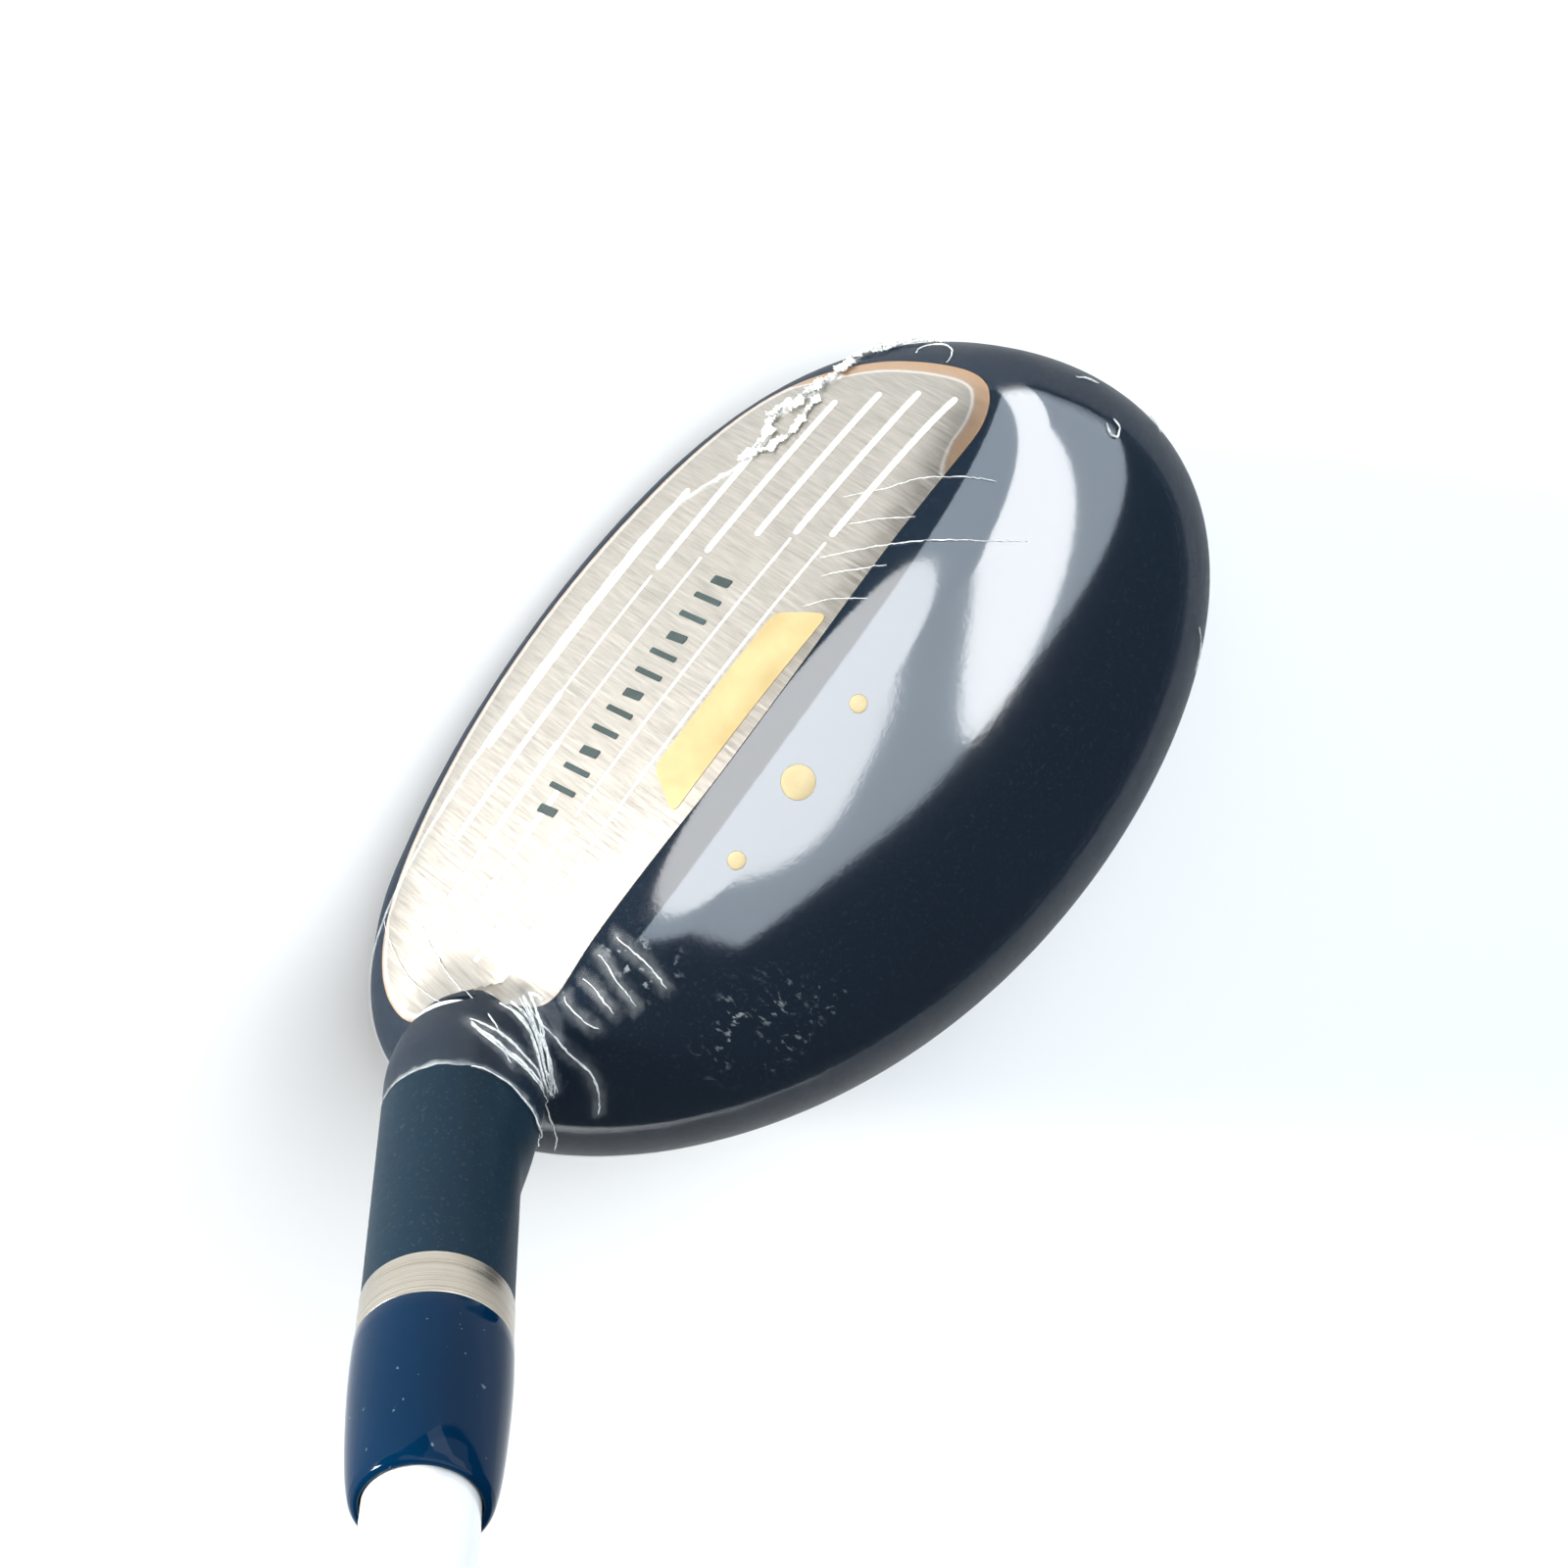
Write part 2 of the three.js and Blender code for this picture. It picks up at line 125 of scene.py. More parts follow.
def surface_nets(F, lo, hi, h):
    n = [int(math.ceil((hi[i] - lo[i]) / h)) + 1 for i in range(3)]
    ax = [lo[i] + h * np.arange(n[i]) for i in range(3)]
    V = np.empty(n, np.float64)
    for i, x in enumerate(ax[0]):
        Y, Z = np.meshgrid(ax[1], ax[2], indexing="ij")
        V[i] = F(np.stack([np.full(Y.shape, x), Y, Z], -1))
    S = V < 0
    c = sum(S[a : n[0] - 1 + a, b : n[1] - 1 + b, d : n[2] - 1 + d].astype(np.int8) for a in (0, 1) for b in (0, 1) for d in (0, 1))
    I = np.argwhere((c > 0) & (c < 8))
    idx = -np.ones((n[0] - 1, n[1] - 1, n[2] - 1), np.int64)
    idx[I[:, 0], I[:, 1], I[:, 2]] = np.arange(len(I))
    acc, cnt = np.zeros((len(I), 3)), np.zeros(len(I))
    for ax_ in range(3):
        o1, o2 = [k for k in range(3) if k != ax_]
        for p in (0, 1):
            for q in (0, 1):
                A = I.copy()
                A[:, o1] += p
                A[:, o2] += q
                Bq = A.copy()
                Bq[:, ax_] += 1
                va, vb = V[tuple(A.T)], V[tuple(Bq.T)]
                m = (va < 0) != (vb < 0)
                t = np.where(m, va / np.where(m, va - vb, 1), 0)
                pt = A.astype(float)
                pt[:, ax_] += t
                acc[m] += pt[m]
                cnt[m] += 1
    P = np.array(lo) + h * acc / cnt[:, None]
    faces = []
    for ax_ in range(3):
        o1, o2 = (ax_ + 1) % 3, (ax_ + 2) % 3
        sl0 = [slice(None)] * 3
        sl1 = [slice(None)] * 3
        sl0[ax_], sl1[ax_] = slice(0, n[ax_] - 1), slice(1, n[ax_])
        D = S[tuple(sl0)].astype(np.int8) - S[tuple(sl1)].astype(np.int8)
        for sign in (1, -1):
            E = np.argwhere(D == sign)
            E = E[(E[:, o1] > 0) & (E[:, o2] > 0) & (E[:, o1] < n[o1] - 1) & (E[:, o2] < n[o2] - 1)]
            q = []
            for (p, r) in ((-1, -1), (0, -1), (0, 0), (-1, 0)):
                G = E.copy()
                G[:, o1] += p
                G[:, o2] += r
                q.append(idx[tuple(G.T)])
            q = np.stack(q, 1)
            faces.append(q if sign == 1 else q[:, ::-1])
    faces = np.concatenate(faces)
    for _ in range(5):
        g = grad(F, P)
        f = F(P)
        P = P - np.clip(f / np.maximum((g * g).sum(1), 0.05), -h, h)[:, None] * g
    return P, faces


# ------------------------------------------------------------------ mesh helpers
col = bpy.context.scene.collection


def obj_from(name, P, faces, smooth=True):
    me = bpy.data.meshes.new(name)
    P = np.asarray(P, float) * MM
    me.from_pydata(P.tolist(), [], [tuple(int(i) for i in f) for f in faces])
    me.validate()
    if smooth:
        me.shade_smooth()
    o = bpy.data.objects.new(name, me)
    col.objects.link(o)
    return o


def recalc(o):
    bm = bmesh.new()
    bm.from_mesh(o.data)
    bmesh.ops.recalc_face_normals(bm, faces=bm.faces)
    bm.to_mesh(o.data)
    bm.free()


def boolean(o, cutter, op="DIFFERENCE", keep=False):
    m = o.modifiers.new("b", "BOOLEAN")
    m.operation, m.solver, m.object = op, "MANIFOLD", cutter
    bpy.context.view_layer.update()
    dg = bpy.context.evaluated_depsgraph_get()
    me = bpy.data.meshes.new_from_object(o.evaluated_get(dg))
    old = o.data
    o.modifiers.clear()
    o.data = me
    if len(me.vertices) == len(old.vertices) and len(me.polygons) == len(old.polygons):
        print("boolean changed nothing:", o.name, "with", cutter.name)
    bpy.data.meshes.remove(old)
    if not keep:
        cm = cutter.data
        bpy.data.objects.remove(cutter)
        bpy.data.meshes.remove(cm)
    if not len(o.data.polygons):
        raise RuntimeError("boolean left nothing of " + o.name)
    return o


def tidy(o):
    """Drops the specks that a cut leaves behind: islands of a few faces."""
    bm = bmesh.new()
    bm.from_mesh(o.data)
    bm.faces.ensure_lookup_table()
    seen, kill = set(), []
    for f in bm.faces:
        if f.index in seen:
            continue
        seen.add(f.index)
        stack, isle = [f], [f]
        while stack:
            for e in stack.pop().edges:
                for h in e.link_faces:
                    if h.index not in seen:
                        seen.add(h.index)
                        stack.append(h)
                        isle.append(h)
        if len(isle) < 8:
            kill += isle
    if kill:
        bmesh.ops.delete(bm, geom=kill, context="FACES")
        bm.to_mesh(o.data)
    bm.free()


def lathe(name, prof, seg=96, closed=True, angle_sharp=32):
    """prof: [(r, t)...] on the shaft axis, a closed ring if it never touches r = 0."""
    rows, verts, faces = [], [], []
    for r, t in prof:
        if r < 1e-6:
            rows.append([len(verts)] * seg)
            verts.append(AO + AS * t)
        else:
            rows.append(list(range(len(verts), len(verts) + seg)))
            for i in range(seg):
                a = 2 * math.pi * i / seg
                verts.append(AO + AS * t + r * (math.cos(a) * AX + math.sin(a) * AZ))
    n = len(rows)
    ring = all(r > 1e-6 for r, _ in prof)
    for k in range(n if ring else n - 1):
        A, C = rows[k], rows[(k + 1) % n]
        for i in range(seg):
            j = (i + 1) % seg
            q = [A[i], A[j], C[j], C[i]]
            f = []
            for v in q:
                if v not in f:
                    f.append(v)
            if len(f) > 2:
                faces.append(f)
    o = obj_from(name, np.array(verts), faces)
    recalc(o)
    sharpen(o, angle_sharp)
    return o


def sharpen(o, deg):
    bm = bmesh.new()
    bm.from_mesh(o.data)
    lim = math.radians(deg)
    for f in bm.faces:
        f.smooth = True
    for e in bm.edges:
        e.smooth = not (len(e.link_faces) == 2 and e.calc_face_angle(0) > lim)
    bm.to_mesh(o.data)
    bm.free()


def arc(r0, t0, r1, t1, bulge, n):
    return [(r0 + (r1 - r0) * u + bulge * math.sin(math.pi * u), t0 + (t1 - t0) * u) for u in np.linspace(0, 1, n)]


def rounded(prof, rad=0.25, n=4):
    """round every corner of a closed profile by a small radius"""
    P = [np.array(p, float) for p in prof]
    out = []
    for i, p in enumerate(P):
        a, c = P[i - 1], P[(i + 1) % len(P)]
        u, v = a - p, c - p
        lu, lv = np.linalg.norm(u), np.linalg.norm(v)
        u, v = u / lu, v / lv
        if np.dot(u, v) < -0.97:
            out.append(tuple(p))
            continue
        d = min(rad, lu * 0.45, lv * 0.45)
        A, C = p + u * d, p + v * d
        for s in np.linspace(0, 1, n):
            out.append(tuple((1 - s) ** 2 * A + 2 * s * (1 - s) * p + s * s * C))
    return out


def on_face(a, b, w=0.0):
    a, b, w = np.broadcast_arrays(np.asarray(a, float), np.asarray(b, float), np.asarray(w, float))
    return FC + a[..., None] * np.array([1.0, 0, 0]) + b[..., None] * FV + (w - a * a / (2 * BULGE) - b * b / (2 * ROLL))[..., None] * FN


def spline(P, n=360):
    """closed Catmull-Rom through P, resampled evenly"""
    P = np.array(P, float)
    k = len(P)
    pts = []
    for i in range(k):
        p0, p1, p2, p3 = P[i - 1], P[i], P[(i + 1) % k], P[(i + 2) % k]
        for t in np.linspace(0, 1, 12, endpoint=False):
            pts.append(0.5 * (2 * p1 + (p2 - p0) * t + (2 * p0 - 5 * p1 + 4 * p2 - p3) * t * t + (3 * p1 - p0 - 3 * p2 + p3) * t**3))
    pts = np.array(pts)
    # smooth a little, then resample
    for _ in range(6):
        pts = (np.roll(pts, 1, 0) + 2 * pts + np.roll(pts, -1, 0)) / 4
    d = np.r_[0, np.cumsum(np.linalg.norm(np.roll(pts, -1, 0) - pts, axis=1))]
    q = np.vstack([pts, pts[:1]])
    s = np.linspace(0, d[-1], n, endpoint=False)
    return np.stack([np.interp(s, d, q[:, 0]), np.interp(s, d, q[:, 1])], 1)


OUTLINE = spline([(-40.4, 13.2), (-38.6, 14.6), (-35.6, 15.7), (-28.9, 16.5), (-19.9, 17.2), (-8, 18.0), (5.1, 18.3), (16, 17.8), (25, 17.25), (32.1, 16.9), (34.9, 15.0), (37.1, 12.2), (40.7, 7.6), (42.5, 3.8), (42.2, -0.1), (40.3, -3.4), (36.6, -6.3), (30, -9.1), (20, -11.4), (10.1, -12.7), (-1, -13.1), (-12.9, -12.3), (-21.3, -11.2), (-27.5, -9.6), (-31.6, -7.3), (-34.7, -4.4), (-37.9, -0.3), (-39.9, 4.1), (-41.4, 9.2), (-41.3, 11.7)])


def grow(loop, g):
    t = np.roll(loop, -1, 0) - np.roll(loop, 1, 0)
    t /= np.linalg.norm(t, axis=1)[:, None]
    return loop + g * np.stack([-t[:, 1], t[:, 0]], 1)


def prism(name, loop, lowfn, highfn):
    """closed prism between two surfaces over a loop (flat caps as n-gons)"""
    n = len(loop)
    A = lowfn(loop)
    Cc = highfn(loop)
    faces = [[i, (i + 1) % n, n + (i + 1) % n, n + i] for i in range(n)]
    faces += [list(range(n))[::-1], list(range(n, 2 * n))]
    o = obj_from(name, np.vstack([A, Cc]), faces)
    recalc(o)
    return o


def flat_face(w):
    return lambda L: FC + L[:, :1] * np.array([[1.0, 0, 0]]) + L[:, 1:2] * FV + w * FN


# grid slab over the face: rows along a, columns along b
def slab(name, As, Bs, topP, botP):
    na, nb = len(As), len(Bs)
    n = na * nb
    faces = []
    idx = np.arange(n).reshape(na, nb)
    q = np.stack([idx[:-1, :-1], idx[1:, :-1], idx[1:, 1:], idx[:-1, 1:]], -1).reshape(-1, 4)
    faces = q.tolist() + (q[:, ::-1] + n).tolist()
    edge = list(idx[:, 0]) + list(idx[-1, 1:]) + list(idx[-2::-1, -1]) + list(idx[0, -2:0:-1])
    for i in range(len(edge)):
        a, b = edge[i], edge[(i + 1) % len(edge)]
        faces.append([b, a, a + n, b + n])
    o = obj_from(name, np.vstack([topP.reshape(-1, 3), botP.reshape(-1, 3)]), faces)
    recalc(o)
    return o


# ------------------------------------------------------------------ materials
def material(name):
    m = bpy.data.materials.new(name)
    m.use_nodes = True
    nt = m.node_tree
    nt.nodes.clear()
    out = nt.nodes.new("ShaderNodeOutputMaterial")
    b = nt.nodes.new("ShaderNodeBsdfPrincipled")
    nt.links.new(b.outputs[0], out.inputs[0])
    return m, nt, b


def srgb(r, g, b):
    f = lambda c: (c / 255) / 12.92 if c / 255 <= 0.04045 else ((c / 255 + 0.055) / 1.055) ** 2.4
    return (f(r), f(g), f(b), 1.0)


class G:
    """a few words for wiring nodes"""

    def __init__(self, nt):
        self.nt = nt

    def new(self, kind, **kw):
        n = self.nt.nodes.new(kind)
        for k, v in kw.items():
            setattr(n, k, v)
        return n

    def link(self, a, b):
        self.nt.links.new(a, b)

    def val(self, sock, v):
        if isinstance(v, bpy.types.NodeSocket):
            self.link(v, sock)
        else:
            sock.default_value = v

    def coord(self):
        return self.new("ShaderNodeTexCoord").outputs["Object"]

    def mapping(self, vec, scale=(1, 1, 1), rot=(0, 0, 0), loc=(0, 0, 0)):
        n = self.new("ShaderNodeMapping")
        self.link(vec, n.inputs[0])
        n.inputs["Scale"].default_value = scale
        n.inputs["Rotation"].default_value = rot
        n.inputs["Location"].default_value = loc
        return n.outputs[0]

    def basis(self, vec, ex, ey, ez, origin=(0, 0, 0)):
        """coordinates of vec in a turned frame: dot products with three axes"""
        s = self.new("ShaderNodeVectorMath", operation="SUBTRACT")
        self.link(vec, s.inputs[0])
        s.inputs[1].default_value = tuple(origin)
        c = self.new("ShaderNodeCombineXYZ")
        for i, e in enumerate((ex, ey, ez)):
            d = self.new("ShaderNodeVectorMath", operation="DOT_PRODUCT")
            self.link(s.outputs[0], d.inputs[0])
            d.inputs[1].default_value = tuple(e)
            self.link(d.outputs["Value"], c.inputs[i])
        return c.outputs[0]

    def noise(self, vec, scale=5.0, detail=3.0, rough=0.5, distort=0.0):
        n = self.new("ShaderNodeTexNoise")
        self.link(vec, n.inputs["Vector"])
        n.inputs["Scale"].default_value = scale
        n.inputs["Detail"].default_value = detail
        n.inputs["Roughness"].default_value = rough
        n.inputs["Distortion"].default_value = distort
        return n.outputs["Fac"]

    def math(self, op, a, b=0.0, c=0.0, clamp=False):
        n = self.new("ShaderNodeMath", operation=op, use_clamp=clamp)
        for s, v in zip(n.inputs, (a, b, c)):
            self.val(s, v)
        return n.outputs[0]

    def ramp(self, fac, stops, interp="LINEAR"):
        n = self.new("ShaderNodeValToRGB")
        n.color_ramp.interpolation = interp
        e = n.color_ramp.elements
        while len(e) < len(stops):
            e.new(0.5)
        for k, (p, c) in zip(e, stops):
            k.position = p
            k.color = c if isinstance(c, tuple) else (c, c, c, 1)
        self.link(fac, n.inputs[0])
        return n.outputs[0]

    def remap(self, v, a, b, c=0.0, d=1.0):
        n = self.new("ShaderNodeMapRange")
        n.clamp = True
        for s, x in zip(list(n.inputs)[:5], (v, a, b, c, d)):
            self.val(s, x)
        return n.outputs[0]

    def mix(self, fac, a, b):
        n = self.new("ShaderNodeMix", data_type="RGBA")
        self.val(n.inputs[0], fac)
        self.val(n.inputs[6], a)
        self.val(n.inputs[7], b)
        return n.outputs[2]

    def sep(self, v):
        n = self.new("ShaderNodeSeparateXYZ")
        self.link(v, n.inputs[0])
        return n.outputs

    def bump(self, height, strength=0.2, dist=0.001, normal=None):
        n = self.new("ShaderNodeBump")
        n.inputs["Strength"].default_value = strength
        n.inputs["Distance"].default_value = dist
        self.link(height, n.inputs["Height"])
        if normal is not None:
            self.link(normal, n.inputs["Normal"])
        return n.outputs[0]


AXm = tuple(AX)
AZm = tuple(AZ)
ASm = tuple(AS)
AOm = tuple(AO * MM)


def navy_paint():
    m, nt, b = material("navy_lacquer")
    g = G(nt)
    co = g.coord()
    ax = g.basis(co, AXm, AZm, ASm, AOm)
    x, z, t = g.sep(ax)
    # the hosel keeps a satin lacquer; the head is polished
    sat = g.remap(t, 0.0405, 0.0425)
    head = g.sep(co)
    flake = g.noise(co, 2600, 1, 0.5)
    cloud = g.noise(co, 38, 3, 0.55)
    deep = g.mix(cloud, srgb(5, 19, 33), srgb(9, 27, 43))
    soft = g.mix(cloud, srgb(14, 32, 44), srgb(20, 39, 52))
    hgt = g.sep(co)[2]
    rad = g.math("SQRT", g.math("ADD", g.math("MULTIPLY", x, x), g.math("MULTIPLY", z, z)))
    neck = g.math("MULTIPLY", g.remap(rad, 0.0135, 0.0105), g.remap(t, 0.008, 0.014))
    flank = g.new("ShaderNodeAttribute", attribute_name="flank").outputs["Fac"]
    skirt = g.math("MAXIMUM", g.math("MAXIMUM", g.remap(hgt, 0.0225, 0.0185), neck), flank)
    colr = g.mix(sat, deep, soft)
    colr = g.mix(g.math("MULTIPLY", g.ramp(flake, [(0.62, 0.0), (0.72, 1.0)]), 0.05), colr, srgb(120, 140, 160))
    # dry scuffs: fine broken scratches in two worn places on the crown and a light scatter elsewhere
    def worn(cx, cy, cz, r, sx, sy):
        v = g.mapping(co, rot=(0, 0, 0.6), scale=(sx, sy, 900))
        n = g.noise(v, 1.0, 5, 0.62)
        d = g.new("ShaderNodeVectorMath", operation="DISTANCE")
        g.link(co, d.inputs[0])
        d.inputs[1].default_value = (cx * MM, cy * MM, cz * MM)
        mask = g.remap(d.outputs["Value"], r * MM, r * 0.45 * MM)
        wob = g.noise(co, 260, 3, 0.6)
        mask = g.math("MULTIPLY", mask, g.remap(wob, 0.42, 0.6))
        return g.math("MULTIPLY", mask, g.ramp(n, [(0.56, 0.0), (0.63, 1.0)]))
    s = g.math("MAXIMUM", worn(22.5, 28.0, 34.2, 7.5, 1500, 700), worn(24.5, 13.5, 34.2, 5.0, 1300, 800))
    s = g.math("MAXIMUM", s, worn(16.5, 31.5, 34.8, 3.0, 1400, 900))
    colr = g.mix(g.math("MULTIPLY", s, 0.55), colr, srgb(176, 182, 184))
    r0 = g.math("ADD", g.math("MULTIPLY", g.noise(co, 420, 4, 0.6), 0.06), 0.15)
    r1 = g.math("ADD", g.math("MULTIPLY", g.noise(co, 900, 3, 0.6), 0.12), 0.40)
    rr = g.mix(g.math("MAXIMUM", sat, skirt), r0, r1)
    rr = g.math("MAXIMUM", rr, g.math("MULTIPLY", s, 0.55))
    g.link(colr, b.inputs["Base Color"])
    g.link(rr, b.inputs["Roughness"])
    b.inputs["Specular IOR Level"].default_value = 0.08
    b.inputs["IOR"].default_value = 1.45
    cw = g.math("SUBTRACT", 1.0, g.math("MAXIMUM", g.math("MULTIPLY", sat, 0.90), s), clamp=True)
    g.link(g.math("MULTIPLY", cw, g.remap(skirt, 0.0, 1.0, 1.0, 0.10)), b.inputs["Coat Weight"])
    b.inputs["Coat Roughness"].default_value = 0.075
    b.inputs["Coat IOR"].default_value = 2.85
    peel = g.noise(co, 900, 2, 0.5)
    fine = g.noise(co, 3800, 2, 0.6)
    h = g.math("ADD", peel, g.math("MULTIPLY", fine, 0.4))
    g.link(g.bump(h, 0.10, 0.00008), b.inputs["Normal"])
    g.link(g.bump(g.noise(co, 1500, 3, 0.6), 0.10, 0.00003), b.inputs["Coat Normal"])
    return m


def brushed_face():
    m, nt, b = material("face_brushed")
    g = G(nt)
    co = g.coord()
    fx = g.basis(co, (1, 0, 0), tuple(FV), tuple(FN), (0, 0, 0.017))
    v1 = g.mapping(fx, scale=(5200, 210, 60))
    v2 = g.mapping(fx, rot=(0, 0, 0.10), scale=(2300, 120, 60))
    v3 = g.mapping(fx, rot=(0, 0, -0.14), scale=(3600, 330, 60))
    n1, n2, n3 = g.noise(v1, 1, 4, 0.6), g.noise(v2, 1, 3, 0.6), g.noise(v3, 1, 3, 0.6)
    n = g.math("MULTIPLY", g.math("ADD", g.math("ADD", n1, n2), n3), 0.3333)
    blotch = g.noise(g.mapping(fx, scale=(160, 60, 60)), 1, 4, 0.6)
    c = g.mix(g.remap(n, 0.36, 0.64), srgb(162, 157, 149), srgb(202, 197, 188))
    c = g.mix(g.math("MULTIPLY", blotch, 0.35), c, srgb(190, 179, 169))
    # warm bevel tone along the edge of the plate, and a painted highlight line along it
    at = g.new("ShaderNodeAttribute", attribute_name="rim")
    rim = at.outputs["Fac"]
    c = g.mix(g.ramp(rim, [(0.0, 0.0), (0.45, 0.0), (0.6, 0.75), (1.0, 0.95)]), c, srgb(200, 162, 128))
    # painted highlight: a thin near-white line along the bevel, where it catches the light
    c = g.mix(g.ramp(rim, [(0.40, 0.0), (0.47, 0.8), (0.56, 0.0)]), c, srgb(246, 236, 226))
    g.link(c, b.inputs["Base Color"])
    b.inputs["Metallic"].default_value = 1.0
    g.link(g.remap(n, 0.3, 0.7, 0.30, 0.46), b.inputs["Roughness"])
    g.link(g.bump(n, 0.22, 0.00006), b.inputs["Normal"])
    return m


def metal(name, c1, c2, rough=(0.25, 0.4), scale=(60, 60, 4000), aniso=0.4, turned=True, bump=0.12):
    m, nt, b = material(name)
    g = G(nt)
    co = g.coord()
    v = g.basis(co, AXm, AZm, ASm, AOm) if turned else co
    n = g.noise(g.mapping(v, scale=scale), 1, 4, 0.6)
    big = g.noise(co, 90, 3, 0.5)
    g.link(g.mix(g.remap(g.math("ADD", g.math("MULTIPLY", n, 0.7), g.math("MULTIPLY", big, 0.3)), 0.36, 0.64), c1, c2), b.inputs["Base Color"])
    b.inputs["Metallic"].default_value = 1.0
    g.link(g.remap(n, 0.3, 0.7, rough[0], rough[1]), b.inputs["Roughness"])
    b.inputs["Anisotropic"].default_value = aniso
    g.link(g.bump(n, bump, 0.00005), b.inputs["Normal"])
    return m


def paint(name, c1, c2, rough=0.35, scale=120, bump=0.05, bscale=1500, coat=0.0, metallic=0.0, coat_rough=0.03, dist=0.00005):
    m, nt, b = material(name)
    g = G(nt)
    co = g.coord()
    n = g.noise(co, scale, 4, 0.55)
    g.link(g.mix(g.remap(n, 0.35, 0.65), c1, c2), b.inputs["Base Color"])
    f = g.noise(co, bscale, 3, 0.6)
    g.link(g.remap(f, 0.3, 0.7, max(rough - 0.05, 0.02), rough + 0.06), b.inputs["Roughness"])
    b.inputs["Metallic"].default_value = metallic
    b.inputs["Coat Weight"].default_value = coat
    b.inputs["Coat Roughness"].default_value = coat_rough
    g.link(g.bump(f, bump, dist), b.inputs["Normal"])
    return m


def ferrule_gloss():
    m, nt, b = material("ferrule_gloss")
    g = G(nt)
    co = g.coord()
    ax = g.basis(co, AXm, AZm, ASm, AOm)
    cloud = g.noise(co, 60, 3, 0.5)
    c = g.mix(cloud, srgb(1, 29, 52), srgb(2, 34, 61))
    v = g.mapping(ax, scale=(900, 900, 260))
    n = g.noise(v, 1, 5, 0.65)
    d = g.new("ShaderNodeVectorMath", operation="DISTANCE")
    g.link(ax, d.inputs[0])
    d.inputs[1].default_value = (-0.0012, 0.0064, 0.0748)
    mask = g.math("MULTIPLY", g.remap(d.outputs["Value"], 0.0062, 0.0016), g.remap(g.noise(co, 420, 3, 0.6), 0.40, 0.54))
    s = g.math("MULTIPLY", mask, g.ramp(n, [(0.52, 0.0), (0.62, 1.0)]))
    sp = g.ramp(g.noise(co, 1300, 2, 0.5), [(0.73, 0.0), (0.76, 1.0)])
    s2 = g.math("MAXIMUM", s, g.math("MULTIPLY", sp, 0.3))
    g.link(g.mix(g.math("MULTIPLY", s2, 0.8), c, srgb(150, 170, 190)), b.inputs["Base Color"])
    g.link(g.math("ADD", g.math("MULTIPLY", s2, 0.5), g.math("ADD", g.math("MULTIPLY", n, 0.04), 0.05)), b.inputs["Roughness"])
    b.inputs["IOR"].default_value = 1.3
    b.inputs["Specular IOR Level"].default_value = 0.12
    b.inputs["Coat Weight"].default_value = 0.1
    b.inputs["Coat Roughness"].default_value = 0.02
    g.link(g.bump(n, 0.05, 0.00003), b.inputs["Normal"])
    return m


def grip_rubber():
    m, nt, b = material("grip_rubber_moulded")
    g = G(nt)
    co = g.coord()
    n = g.noise(co, 240, 4, 0.6)
    f = g.noise(co, 2600, 3, 0.65)
    g.link(g.mix(n, srgb(24, 31, 42), srgb(34, 43, 56)), b.inputs["Base Color"])
    g.link(g.remap(f, 0.3, 0.7, 0.62, 0.86), b.inputs["Roughness"])
    b.inputs["IOR"].default_value = 1.42
    g.link(g.bump(f, 0.35, 0.0001), b.inputs["Normal"])
    return m


def shaft_paint():
    m, nt, b = material("shaft_white_lacquer")
    g = G(nt)
    co = g.coord()
    ax = g.basis(co, AXm, AZm, ASm, AOm)
    n = g.noise(g.mapping(ax, scale=(300, 300, 40)), 1, 4, 0.55)
    c = g.mix(g.remap(n, 0.35, 0.65), srgb(212, 213, 212), srgb(222, 223, 222))
    g.link(c, b.inputs["Base Color"])
    f = g.noise(co, 1400, 3, 0.6)
    g.link(g.remap(f, 0.3, 0.7, 0.16, 0.26), b.inputs["Roughness"])
    b.inputs["Coat Weight"].default_value = 0.7
    b.inputs["Coat Roughness"].default_value = 0.03
    g.link(g.bump(f, 0.03, 0.00004), b.inputs["Normal"])
    return m


def clear_film():
    m, nt, b = material("clear_shrink_film")
    g = G(nt)
    co = g.coord()
    # painted glint: the clear film turns white along its torn edges and wrinkle lines, in place of the light they
    # reflect
    at = g.new("ShaderNodeAttribute", attribute_name="film_glint")
    n = g.noise(co, 500, 3, 0.6)
    b.inputs["Base Color"].default_value = (0.88, 0.91, 0.92, 1)
    g.link(g.math("ADD", g.math("MULTIPLY", at.outputs["Fac"], g.remap(n, 0.35, 0.6, 0.4, 1.0)), 0.003), b.inputs["Alpha"])
    b.inputs["Roughness"].default_value = 0.12
    b.inputs["IOR"].default_value = 1.5
    return m


def film_crease():
    m, nt, b = material("film_crease")
    g = G(nt)
    co = g.coord()
    n = g.noise(co, 1400, 3, 0.6)
    # painted glint: the creases and crumpled tear are near-white in place of the light they catch
    g.link(g.mix(n, srgb(226, 232, 230), srgb(250, 251, 250)), b.inputs["Base Color"])
    g.link(g.remap(g.noise(co, 900, 3, 0.6), 0.36, 0.58, 0.25, 0.85), b.inputs["Alpha"])
    b.inputs["Roughness"].default_value = 0.18
    b.inputs["IOR"].default_value = 1.5
    g.link(g.bump(n, 0.3, 0.0001), b.inputs["Normal"])
    return m


